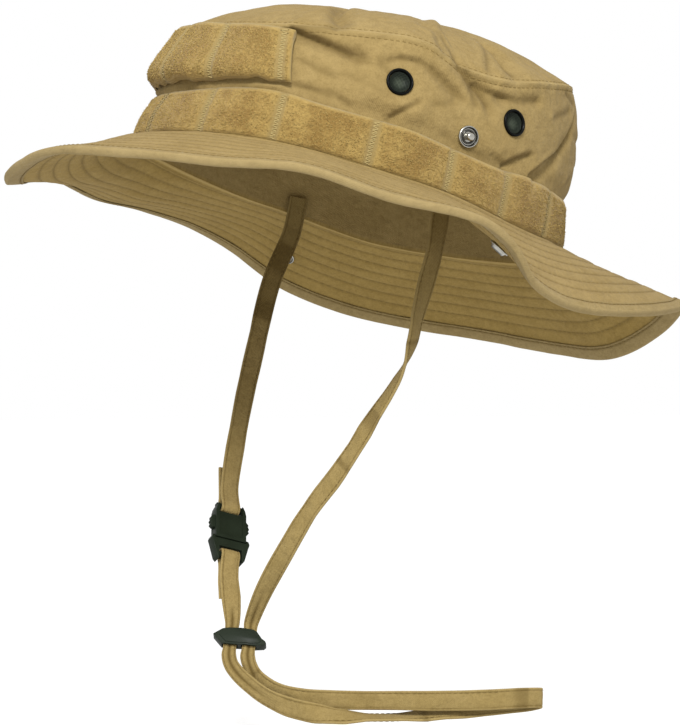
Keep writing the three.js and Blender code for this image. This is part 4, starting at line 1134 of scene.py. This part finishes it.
def hem_section():
    """The folded strip in section: how far past the brim's edge, and how far off its middle line."""
    near = BRIM_THICK / 2 + GAP + HEM_SLACK
    far = near + HEM_THICK
    bend = [(0.2 + 1.0 * math.cos(a), far * math.sin(a)) for a in np.radians(np.arange(75, -80, -15))]
    inside = [(0.3 * math.cos(a), near * math.sin(a)) for a in np.radians(np.arange(-75, 80, 25))]
    over = [(-HEM_TOP, near), (-HEM_TOP - 0.05, far - 0.2), (-HEM_TOP + 0.3, far),
            (-HEM_SEWN[0] - 0.3, far - 0.02), (-HEM_SEWN[0], far - 0.22), (-HEM_SEWN[0] + 0.3, far - 0.02),
            (-2.5, far + 0.08), (-1.2, far + 0.06), (-0.2, far)]
    under = [(-0.2, -far), (-1.5, -far - 0.08), (-3, -far - 0.1), (-4.6, -far - 0.08),
             (-HEM_SEWN[1] + 0.3, -far), (-HEM_SEWN[1], -far + 0.22), (-HEM_SEWN[1] - 0.3, -far),
             (-HEM_UNDER + 0.3, -far), (-HEM_UNDER - 0.05, -far + 0.2), (-HEM_UNDER, -near)]
    return np.array(over + bend + under + inside)


def hem_point(angle, further, off):
    """A place on the hem, by how far past the brim's edge and how far off its middle line it is."""
    share = np.clip(1 + further / BRIM_WIDTH, 0, 1)
    pucker = 0.12 * pucker_ripple(angle, 7) * np.sign(off)
    return brim_point(angle, share, off + brim_wave(angle, share) + pucker, np.maximum(0, further))


def hem():
    section = hem_section()
    angle = np.repeat(column_angles[:, None], len(section), 1)
    points = hem_point(angle, section[None, :, 0] + 0 * angle, section[None, :, 1] + 0 * angle)
    gone = gone_along(section)
    gone = np.append(gone, gone[-1] + 0.5)
    # the folded edge is paler: wear, and a painted highlight along the fold
    fold = bell(section[:, 0] - 0.9, 0.8)
    worn = np.tile(fold * 0.4, (COLUMNS, 1)) + 0.15 * edge_ripple(angle, 40)
    # painted shade along the hem's rows of stitching
    seam = sum(bell(section[:, 0] + sewn, 0.5) for sewn in HEM_SEWN)
    values = {"worn": np.clip(worn, 0, 1), "deepened": np.tile(np.clip(seam * 0.6, 0, 1), (COLUMNS, 1))}
    mesh = ring_mesh("brim_hem", to_row(points), length_at(closed_angles) * 1.65, gone, True, values)
    linked("brim_hem", mesh, hem_cloth, ["brim_binding"])
    far = BRIM_THICK / 2 + GAP + HEM_SLACK + HEM_THICK
    rows = [
        stitch_row(lambda a, f=further, o=off: hem_point(a, f + 0 * a, o + 0 * a),
                   lambda a, f=further, o=off: hem_point(a, f + 0 * a, 3 * o + 0 * a), 3.0)
        for further, off in ((-HEM_SEWN[0], far), (-HEM_SEWN[1], -far))
    ]
    point, along, out = joined(*rows)
    bars("hem_stitches", point, along, out, (2.3, 0.45, 0.5), cotton_thread, "cloth")


brim()
brim_stitches()
hem()


# ---------------------------------------------------------------- band and front patch
TACK = Curve(TACKS, 1)


def stand_off(length, step, puff):
    """The tape lies against the crown at each tack, and puffs out between them."""
    return GAP + puff * np.sin(np.pi * length / step) ** 2


def tacked(length, step):
    """1 on the line of a tack, falling to 0 beside it."""
    beside = (length + step / 2) % step - step / 2
    return bell(beside, 1.5, 4)


def pile_height(share):
    """Pile stands up in the middle of the tape and stops at its plain edges."""
    return np.clip(np.minimum(share, 1 - share) * 12, 0, 1) ** 0.6


def from_band_tack(length):
    """How far a place round the band is from its nearest tack."""
    length = np.minimum(length, FOOT_LENGTH - length)
    return np.min([np.abs(length - at) for at, _ in TACKS], axis=0)


def from_patch_tack(length):
    """How far a place along the patch is from its nearest tack."""
    return np.abs(length - PATCH_STEP * np.round(length / PATCH_STEP))


def sewn_down(from_tack):
    """Where a tack has flattened the pile: 1 between its stitches, falling to 0 beside them."""
    return 0.9 * np.clip((2.7 - from_tack) / 0.8, 0, 1)


def band_turn(length):
    """The length round the band, stretched so that its uneven tacks fall at even steps."""
    return TACK(np.minimum(length, FOOT_LENGTH - length)) * BAND_STEP


def taped(thick, share, ends, pressed, whole):
    """How thick the tape is at a place, from its backing to the top of its pile."""
    return thick * (0.62 + 0.38 * pile_height(share) * ends) * (whole - pressed) / whole


def pile_tape(name, node, faces, lay, share, ends, beside, turn, wrap):
    """A loop tape: plain at its edges, browner in the middle of each puff and flat under its tacks."""
    edge = np.maximum(1 - pile_height(share) * ends, 0.5 * bell(beside, 3.4))
    middle = 4 * share * (1 - share) * np.sin(turn) ** 2
    values = both_faces(selvage=edge, middle=middle, sewn=sewn_down(beside))
    mesh = sheet_mesh(name, to_row(faces[0]), to_row(faces[1]), *lay, wrap=wrap, values=values)
    linked(name, mesh, pile, [node])


def band_skin(angle, share, thick, clear=0.0):
    """The band's face: its pile for the full thickness, its backing for none."""
    height = BAND_LOW + share * (BAND_HIGH - BAND_LOW)
    length = band_turn(length_at(np.mod(angle, 360)))
    off = stand_off(length, BAND_STEP, BAND_PUFF)
    pressed = 0.7 * tacked(length, BAND_STEP)
    lifted = 0.35 * edge_ripple(angle, share * 20) * (np.abs(share - 0.5) * 2) ** 3
    tape = taped(thick, share, 1, pressed, BAND_THICK)
    return crown_point(angle, height, off + tape + lifted * (off - GAP) + clear)


def band():
    shares = np.linspace(0, 1, 25)
    angle, share = np.meshgrid(column_angles, shares)
    faces = band_skin(angle, share, BAND_THICK), band_skin(angle, share, 0)
    lay = np.tile(length_at(closed_angles), (len(shares), 1)), np.repeat(shares[:, None] * 21, COLUMNS + 1, 1)
    length = length_at(angle)
    turn = np.pi * band_turn(length) / BAND_STEP
    pile_tape("band_tape", "loop_band", faces, lay, share, 1, from_band_tack(length), turn, True)


def patch_edge(edge, length):
    """The height of an edge of the patch, which rises towards the ends."""
    middle, rise = edge
    return middle + rise * np.abs(length / PATCH_HALF) ** 3


def patch_ends(length):
    """The pile stops short of the patch's ends."""
    return np.clip((PATCH_HALF - np.abs(length)) / 1.6, 0, 1) ** 0.6


def patch_skin(length, share, thick, clear=0.0):
    """The patch's face: its pile for the full thickness, its backing for none."""
    low, high = patch_edge(PATCH_LOW, length), patch_edge(PATCH_HIGH, length)
    height = low + share * (high - low)
    off = stand_off(length, PATCH_STEP, PATCH_PUFF)
    trimmed = length * (1 - share * PATCH_TRIM / PATCH_HALF)
    pressed = 0.7 * tacked(length, PATCH_STEP)
    tape = taped(thick, share, patch_ends(length), pressed, PATCH_THICK)
    wavy = edge_ripple(length * 1.2 + 180, 50) * (1 - share) ** 2
    return crown_point(angle_at(trimmed), height + 0.9 * wavy, PATCH_CLEAR + off + tape + clear + 0.6 * wavy)


def patch():
    shares = np.linspace(0, 1, 28)
    lengths = np.linspace(-PATCH_HALF, PATCH_HALF, 151)
    length, share = np.meshgrid(lengths, shares)
    faces = patch_skin(length, share, PATCH_THICK), patch_skin(length, share, 0)
    beside, turn = from_patch_tack(length), np.pi * length / PATCH_STEP
    lay = length, share * 24 + 40
    pile_tape("patch_tape", "front_patch", faces, lay, share, patch_ends(length), beside, turn, False)


def zigzag(line, count):
    """A zigzag tack up a line: each stitch crosses from one side to the other."""
    share = (np.arange(count) + 0.5) / count
    side = np.where(np.arange(count) % 2, 1.0, -1.0)
    middle = line(0 * share, share, 0.15)
    left = line(-TACK_SWING * side, share - 0.35 / count, 0.15)
    right = line(TACK_SWING * side, share + 0.35 / count, 0.15)
    out = unit(line(0 * share, share, 1.5) - middle)
    return middle, unit(right - left), out


def tape_tacks():
    """The zigzag tacks across the band and the patch, each stitch with a dark bead at its ends as painted
    shade in the needle hole.
    """
    def band_line(at):
        return lambda beside, share, clear: to_row(
            band_skin(angle_at(at + beside), 0.04 + 0.92 * share, BAND_THICK, clear))

    def patch_line(at):
        return lambda beside, share, clear: to_row(
            patch_skin(at + beside, 0.03 + 0.94 * share, PATCH_THICK, clear))

    lengths = [at for at, _ in TACKS] + [FOOT_LENGTH - at for at, _ in TACKS[1:-1]]
    groups = [zigzag(band_line(at), 24) for at in lengths]
    groups += [zigzag(patch_line(step * PATCH_STEP), 28) for step in (-2, -1, 0, 1, 2)]
    point, along, out = joined(*groups)
    bars("tape_tacks", point, along, out, (3.2, 0.6, 0.5), tack_thread, "loop_tape")
    # dark beads at each stitch's ends: painted shade in the needle holes
    ends = np.concatenate([point - along * 1.75 * MM, point + along * 1.75 * MM])
    twice = [np.concatenate([part, part]) for part in (along, out)]
    bars("tape_tack_hole_shades", ends, *twice, (0.9, 0.7, 0.35), tack_hole_shade, "loop_tape", 4, 2)


def tape_fuzz():
    """Loose loops of the pile, leaning every way, with none under the tacks."""
    random = np.random.default_rng(11)
    count = 15000
    angle, share = random.uniform(0, 360, count), random.uniform(0.07, 0.93, count)
    band_point = to_row(band_skin(angle, share, BAND_THICK, 0.1))
    band_out = unit(to_row(band_skin(angle, share, BAND_THICK, 1.0)) - band_point)
    length, high = random.uniform(-73.5, 73.5, 9000), random.uniform(0.06, 0.94, 9000)
    patch_point = to_row(patch_skin(length, high, PATCH_THICK, 0.1))
    patch_out = unit(to_row(patch_skin(length, high, PATCH_THICK, 1.0)) - patch_point)
    on_band, on_patch = from_band_tack(length_at(angle)) > 2.4, from_patch_tack(length) > 2.4
    point = np.concatenate([band_point[on_band], patch_point[on_patch]])
    out = np.concatenate([band_out[on_band], patch_out[on_patch]])
    lean = unit(random.normal(0, 1, point.shape) * 0.9 + out * 0.5)
    share = random.uniform(0.6, 1.3, len(point))
    bars("tape_pile_loops", point, lean, out, (1.3, 0.4, 0.3), pile_tips, "loop_tape", 3, 2, share)


band()
patch()
tape_tacks()
tape_fuzz()


# ---------------------------------------------------------------- vents and snaps
def crown_place(angle, height):
    """Where a fitting sits in the crown's cloth, facing out."""
    at, level = np.array(float(angle)), np.array(float(height))
    round_way = crown_point(at + 1, level) - crown_point(at - 1, level)
    rise = crown_point(at, level + 1) - crown_point(at, level - 1)
    normal = unit(np.cross(round_way, rise))
    return place_of(crown_point(at, level) - normal * CLOTH / 2, normal, (0, 0, 1))


def brim_place(angle, share):
    """Where a fitting sits in the brim, facing up."""
    middle = brim_point(angle, share, 0)
    out = brim_point(angle, share + 0.04, 0) - middle
    round_way = brim_point(angle + 1, share, 0) - brim_point(angle - 1, share, 0)
    return place_of(middle, -np.cross(round_way, out), (0, 0, 1))


def rounded(start, stop, middle, radius, steps=6):
    """Points of an arc in a profile, from one bearing to another in degrees."""
    return [(middle[0] + radius * math.cos(a), middle[1] + radius * math.sin(a))
            for a in np.radians(np.linspace(start, stop, steps))]


def vents():
    """Each vent's turned ring grips the cloth's edge, and holds a dish of gauze."""
    low = GRIP + GAP
    ring = [(VENT_BORE, -low - 0.7), (VENT_BORE + 0.3, -low - 0.9)]
    ring += rounded(-90, 0, (VENT_FLANGE - 0.4, -low - 0.4), 0.4)
    ring += [(VENT_FLANGE - 0.1, -low), (VENT_HOLE - GAP, -low), (VENT_HOLE - GAP, low), (VENT_FLANGE, low)]
    ring += rounded(0, 110, (VENT_FLANGE - 0.62, low + 0.42), 0.62, 9)
    ring += [(VENT_BORE + 0.35, low + 0.72), (VENT_BORE + 0.08, low + 0.4), (VENT_BORE, low)]
    r = VENT_BORE - 0.12
    dish = [(0, -1.05), (r * 0.35, -1), (r * 0.6, -0.75), (r, 0.25),
            (r, 0.75), (r * 0.85, 0.35), (r * 0.6, -0.3), (r * 0.35, -0.56), (0, -0.65)]
    for side, sign in SIDES:
        for name, angle in zip(("front", "back"), VENT_ANGLES):
            place = crown_place(sign * angle % 360, VENT_HEIGHT)
            of = side + "_" + name
            turned = lathe_mesh("vent_ring", ring, place)
            linked("vent_ring_" + of, turned, black_enamel, ["vent_" + of])
            turned = lathe_mesh("vent_gauze", dish, place)
            linked("vent_gauze_" + of, turned, gauze, ["vent_screen_" + of])


def snaps():
    """A stud through the crown on each side, and a socket through the brim under it."""
    low = GRIP + GAP
    stud = [(0, -low - 0.8), (3.2, -low - 0.8)] + rounded(-90, 0, (4.0, -low - 0.4), 0.4)
    stud += [(4.4, -low), (1.7, -low), (1.7, low), (SNAP_FLANGE, low)]
    stud += rounded(0, 180, (SNAP_FLANGE - 0.55, low + 0.45), 0.55, 9)
    stud += [(3.6, low + 0.2), (3.3, low + 0.2)] + rounded(0, 180, (2.85, low + 0.5), 0.42, 8)
    stud += [(2.2, low + 0.15), (1.5, low + 0.2), (1.3, low + 1.3), (1.45, low + 1.9)]
    stud += [(1.85, low + 2.3), (1.85, low + 2.7), (1.5, low + 3.15), (0.8, low + 3.38), (0, low + 3.45)]
    post, rim = SNAP_HOLE - GAP, SOCKET_FLANGE
    socket = [(0, -low - 0.5), (2.0, -low - 0.55), (2.1, -low - 1.9)]
    socket += rounded(200, 340, (2.75, -low - 1.9), 0.6, 8)
    socket += [(3.9, -low - 0.9), (4.2, -low - 0.95)] + rounded(-90, 60, (rim - 0.6, -low - 0.6), 0.4, 6)
    socket += [(rim - 0.5, -low), (post, -low), (post, low), (rim, low)]
    socket += rounded(0, 80, (rim - 0.5, low + 0.3), 0.5, 6) + [(2.8, low + 1.0), (0, low + 1.15)]
    for side, sign in SIDES:
        turned = lathe_mesh("stud", stud, crown_place(sign * SNAP_ANGLE % 360, SNAP_HEIGHT))
        linked("stud_" + side, turned, nickel, ["snap_stud_" + side])
        place = brim_place(sign * SOCKET_ANGLE % 360, SOCKET_REACH / BRIM_WIDTH)
        linked("socket_" + side, lathe_mesh("socket", socket, place), nickel, ["snap_socket_" + side])


vents()
snaps()


# ---------------------------------------------------------------- chin strap
def frame_of(point, along, facing):
    """A frame at a point, with Y along one direction and Z as near as it can be to another."""
    y = unit(np.array(along, float))
    x = unit(np.cross(y, facing))
    return np.array(point, float), np.stack([x, y, np.cross(x, y)], 1)


# the straps hang straight down, so their places, in millimetres, aren't pitched with the hat
BUCKLE_PLACE = frame_of((-24.1, -48.8, -152.5), (-0.52, 0.217, 0.826), (0.854, 0.117, 0.507))
SLIDER_PLACE = frame_of((0, -53.2, -198.2), (-0.406, 0.276, 0.871), (0.799, -0.356, 0.485))


def placed(place, given):
    """Stations given in a fitting's own frame, moved to where the fitting hangs."""
    origin, axes = place
    return [(origin + axes @ at, axes @ across, width, thick) for at, across, width, thick in given]


def station(at, across, width=TAPE_WIDTH, thick=TAPE_THICK):
    """One place on a tape's way: where it is, which way its width lies, and its width and thickness there."""
    return np.array(at, float), np.array(across, float), width, thick


def stations(*rows):
    return [station(*row) for row in rows]


def bar_turn(bar, away, end):
    """The tape's turn round a buckle bar, from its front to its back."""
    off = BAR / 2 + GAP + 0.2 + TAPE_THICK / 2
    doubled = (TAPE_THICK + GAP) / 2
    slant = off * 0.75
    line = [(12, doubled), (5, doubled + 0.4), (0, off), (-slant, slant), (-off, 0),
            (-slant, -slant), (0, -off), (5, -doubled - 0.4), (12, -doubled - 0.3), (end, -doubled - 0.3)]
    return [station((0, bar + away * along, out), (away, 0, 0)) for along, out in line]


def through_slider(hole, way):
    """The tape's way through one hole of the slider, gathered by it."""
    sizes = ((-8, 6.6, 2), (-5, 6, 2.2), (5, 6, 2.2), (8, 6.6, 2))
    return [station((hole, way * along, 0), (-1, 0, 0), width, thick) for along, width, thick in sizes]


CHIN = stations(
    ((79.9, 10, 3.4), (-0.12, 0.99, 0)), ((80.2, 8.6, -4), (-0.12, 0.99, 0)),
    ((82, 4, -26), (-0.22, 0.97, 0)), ((80, 1.2, -39), (-0.22, 0.97, 0)),
    ((77, -1.7, -54), (-0.4, 0.91, 0)), ((73, -2.7, -67), (-0.65, 0.75, 0.1)),
    ((69, -5.6, -78.5), (-0.9, 0.35, 0.2)), ((60, -14.4, -97.7), (-0.85, -0.15, 0.4)),
    ((46, -24.8, -121.9), (-0.8, -0.35, 0.42)), ((34, -33.9, -139.7), (-0.8, -0.4, 0.42)),
    ((22, -40.8, -158.6), (-0.7, -0.55, 0.4)), ((6.3, -45.1, -178.2), (-0.45, -0.85, 0.2), 8, 1.6),
) + placed(SLIDER_PLACE, through_slider(HOLE_AT, -1)) + stations(
    ((8.1, -52, -209), (-0.3, -0.6, -0.7), 6.6, 1.8), ((11.2, -51.1, -213.5), (-0.2, -0.4, -0.9), 7.5),
    ((15.8, -48.2, -217.6), (0, 0, -1), 8.5), ((22.1, -43.7, -221), (0, 0, -1)),
    ((31, -36, -222.8), (0, 0, -1)), ((40, -24.6, -223.1), (0, 0, -1), 8.6),
    ((47.5, -12.5, -223.1), (0, 0, -1), 8.4), ((55.7, -0.4, -222.9), (0, 0, -1), 8.4),
    ((61.1, 13.1, -223.1), (0, 0, -1), 8.8), ((68.2, 34, -222.9), (0, 0, -1)),
    ((73.8, 52.7, -222.2), (0, 0, -1)), ((73.2, 60, -222.6), (0, 0, -1), 9, 1.2),
    ((68.1, 57.1, -224.2), (0, 0, -1)), ((65, 43.9, -225.5), (0.2, -0.1, -1)),
    ((61.3, 29.5, -227.5), (0.6, -0.25, -0.75)), ((57.3, 14.4, -229.4), (0.88, -0.35, -0.4)),
    ((54.8, 0.1, -230.2), (0.9, -0.37, -0.25)), ((52.5, -14.8, -230), (0.9, -0.37, -0.25)),
    ((46.8, -27.6, -229.4), (0.75, -0.3, -0.6)), ((38, -37.6, -227.8), (0.1, 0, -1)),
    ((27.5, -44, -225.6), (0, 0, -1), 8.6), ((19.4, -49.8, -221.9), (0, 0, -1), 8),
    ((13.7, -54.1, -217.6), (-0.1, -0.2, -1), 7.5), ((8.9, -57.6, -213.2), (-0.3, -0.5, -0.8), 7, 1.7),
    ((4.7, -59.5, -208.8), (-0.41, -0.85, -0.3), 6.6, 2),
) + placed(SLIDER_PLACE, through_slider(-HOLE_AT, 1)) + placed(
    BUCKLE_PLACE,
    stations(((1.6, -32.5, -0.6), (-0.98, 0, -0.15))) + bar_turn(PLUG_BAR, -1, 13)
    + stations(((0.6, -28, -2), (-1, 0, 0)), ((1.4, -32, -3.3), (-1, 0, 0))),
)
BUCKLE_SIDE = stations(
    ((-79.9, 10, 3.4), (0.12, 0.99, 0)), ((-80.2, 8.6, -4), (0.12, 0.99, 0)),
    ((-80, 6, -14), (0.12, 0.99, 0)), ((-76, -5.6, -35.9), (0.1, 0.97, 0)),
    ((-63, -19.7, -69), (0.05, 0.97, -0.1)), ((-45, -34.7, -101.3), (0, 0.97, -0.15)),
) + placed(BUCKLE_PLACE, bar_turn(BODY_BAR, 1, 22))


def tape_path(way):
    """A smooth line through the stations: its points, its directions, and the tape's size along it."""
    at = np.array([stop[0] for stop in way])
    ends = np.vstack([2 * at[0] - at[1], at, 2 * at[-1] - at[-2]])
    points, across, sizes = [], [], []
    for k in range(len(at) - 1):
        p0, p1, p2, p3 = ends[k:k + 4]
        d0, d1, d2 = (max(np.linalg.norm(b - a) ** 0.5, 1e-4) for a, b in ((p0, p1), (p1, p2), (p2, p3)))
        m1 = ((p1 - p0) / d0 - (p2 - p0) / (d0 + d1) + (p2 - p1) / d1) * d1
        m2 = ((p2 - p1) / d1 - (p3 - p1) / (d1 + d2) + (p3 - p2) / d2) * d1
        bend = np.arccos(np.clip(np.dot(unit(m1), unit(m2)), -1, 1))
        steps = int(max(2, math.ceil(np.linalg.norm(p2 - p1) / 1.2), math.ceil(bend / math.radians(9))))
        s = (np.arange(steps + (k == len(at) - 2)) / steps)[:, None]
        points.append((2 * s**3 - 3 * s**2 + 1) * p1 + (s**3 - 2 * s**2 + s) * m1
                      + (3 * s**2 - 2 * s**3) * p2 + (s**3 - s**2) * m2)
        across.append(way[k][1] * (1 - s) + way[k + 1][1] * s)
        sizes.append(np.array(way[k][2:]) * (1 - s) + np.array(way[k + 1][2:]) * s)
    points, across, sizes = (np.concatenate(x) for x in (points, across, sizes))
    along = unit(np.gradient(points, axis=0))
    for _ in range(3):
        across[1:-1] = (across[:-2] + 2 * across[1:-1] + across[2:]) / 4
    across = unit(across - along * np.sum(across * along, -1, keepdims=True))
    return points, along, across, np.cross(along, across), sizes


SEWN_AT = 0.76  # where the stitched groove along each edge of the tape is, as a share of its half width


def tape_section():
    """The tape in section, in shares of its half width and thickness: a quarter, turned over each way."""
    quarter = [(1, 0.3), (0.95, 0.8), (0.86, 1), (SEWN_AT, 0.72), (0.66, 0.95), (0.4, 1), (0.15, 1)]
    upper = quarter + [(0, 1)] + [(-x, y) for x, y in reversed(quarter)]
    lower = [(-x, -y) for x, y in upper]
    return np.array(lower[-1:] + upper + lower[:-1], float)


def tape_stitches(name, points, along, across, facing, sizes, gone):
    """Stitches in the grooves on both faces."""
    count = int(gone[-1] / 2.6)
    at = (np.arange(count) + 0.5) * gone[-1] / count

    def pick(rows):
        return np.stack([np.interp(at, gone, rows[:, c]) for c in range(rows.shape[1])], -1)

    middle, ahead, over, face, size = (pick(rows) for rows in (points, along, across, facing, sizes))
    rows = []
    for edge in (-1, 1):
        for upper in (-1, 1):
            up = face * upper * (0.72 * size[:, 1:] / 2 + 0.08)
            place = middle + over * edge * SEWN_AT * size[:, :1] / 2 + up
            rows.append((place * MM, unit(ahead), unit(face * upper)))
    point, ahead, out = joined(*rows)
    return bars(name, point, ahead, out, (1.9, 0.36, 0.3), cotton_thread, "strap_tape")


def tape(name, node, way, seed, rests_on):
    """A tape along its way: it curls and ripples where it is free, and folds lengthwise where gathered."""
    points, along, across, facing, sizes = tape_path(way)
    section = tape_section()
    gone = gone_along(points)
    waves = np.random.default_rng(seed).uniform(-1, 1, (4, int(gone[-1] / 9) + 3))
    ripple = [np.interp(gone / 9, np.arange(waves.shape[1]), wave) for wave in waves]
    fittings = BUCKLE_PLACE[0], SLIDER_PLACE[0]
    near = np.min([np.linalg.norm(points - middle, axis=1) for middle in fittings], axis=0)
    free = np.clip((near - 18) / 14, 0, 1)
    gathered = np.clip((8.3 - sizes[:, :1]) / 1.4, 0, 1)
    curl = section[None, :, 0] * (ripple[0] * (0.1 + 0.35 * free))[:, None]
    curl += np.cos(section[None, :, 0] * 2.2) * (ripple[2] * 0.3 * free)[:, None]
    fold = bell(section[None, :, 0] - 0.12 * ripple[3][:, None], 0.3) * gathered
    off = section[None, :, 1] * (sizes[:, 1:] / 2 - 0.55 * fold) + curl
    side = section[None, :, 0] * sizes[:, :1] / 2 * (1 + 0.015 * ripple[1][:, None])
    rings = points[:, None] + across[:, None] * side[..., None] + facing[:, None] * off[..., None]
    round_gone = gone_along(section * (TAPE_WIDTH / 2, TAPE_THICK / 2))
    round_gone = np.append(round_gone, round_gone[-1] + 0.4)
    groove = bell(np.abs(section[:, 0]) - SEWN_AT, 0.05)
    edge = bell(np.abs(section[:, 0]) - 1, 0.06)
    creased = bell(section[None, :, 0], 0.16) * gathered
    # painted shade: darker where the tape bows most
    crossed = np.clip(ripple[2] * 3 - 1.9, 0, 0.5)[:, None] * np.ones(len(section))
    # painted shade on the tape near the hat, where the brim shades it
    shade_near_hat = 0.6 * np.clip((85 - gone) / 40, 0, 1)[:, None]
    # painted shade in the stitched grooves, along the gathered crease, where the tape bows and near the hat
    deepened = np.clip(groove * 0.5 + creased * 1.6 + crossed + shade_near_hat, 0, 1.6)
    values = {"deepened": deepened, "worn": np.tile(edge * 0.7, (len(points), 1))}
    mesh = ring_mesh(name, rings * MM, np.append(gone, gone[-1]), round_gone, False, values)
    piece = linked(name, mesh, tape_cloth, [node])
    sewn = tape_stitches(name + "_stitches", points, along, across, facing, sizes, gone)


def softened(name, node, width):
    """A moulded part with its edges eased."""
    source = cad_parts[node]
    builder = bmesh.new()
    builder.from_mesh(source.data)
    bmesh.ops.remove_doubles(builder, verts=builder.verts, dist=1e-6)
    bmesh.ops.dissolve_limit(builder, angle_limit=math.radians(2), verts=builder.verts, edges=builder.edges)
    mesh = bpy.data.meshes.new(name)
    builder.to_mesh(mesh)
    builder.free()
    piece = added(name, mesh)
    bevel = piece.modifiers.new("eased", "BEVEL")
    bevel.width, bevel.segments, bevel.limit_method = width * MM, 3, "ANGLE"
    bevel.angle_limit = math.radians(25)
    applied(piece).set_sharp_from_angle(angle=math.radians(35))
    settle(piece, nylon, [node])


tape("chin_tape", "chin_strap", CHIN, 21, ["crown_wall_cloth"])
tape("buckle_tape", "buckle_strap", BUCKLE_SIDE, 22, ["crown_wall_cloth"])
softened("buckle_socket_half", "buckle_body", 0.4)
softened("buckle_plug_half", "buckle_plug", 0.3)
softened("strap_keeper", "strap_slider", 0.35)

# ---------------------------------------------------------------- floor
FLOOR_HALF, FLOOR_LEVEL = 8, -0.238
floor_mesh = bpy.data.meshes.new("floor")
corners = [(x * FLOOR_HALF, y * FLOOR_HALF, FLOOR_LEVEL) for x, y in ((-1, -1), (1, -1), (1, 1), (-1, 1))]
floor_mesh.from_pydata(corners, [], [(0, 1, 2, 3)])
floor = added("floor", floor_mesh)
floor_finish = Finish("light_table", Roughness=0.9, Specular_IOR_Level=0.0, Base_Color=(0.25, 0.25, 0.25, 1),
                      Emission_Color=(1, 1, 1, 1), Emission_Strength=0.8)
floor_mesh.materials.append(floor_finish.material)
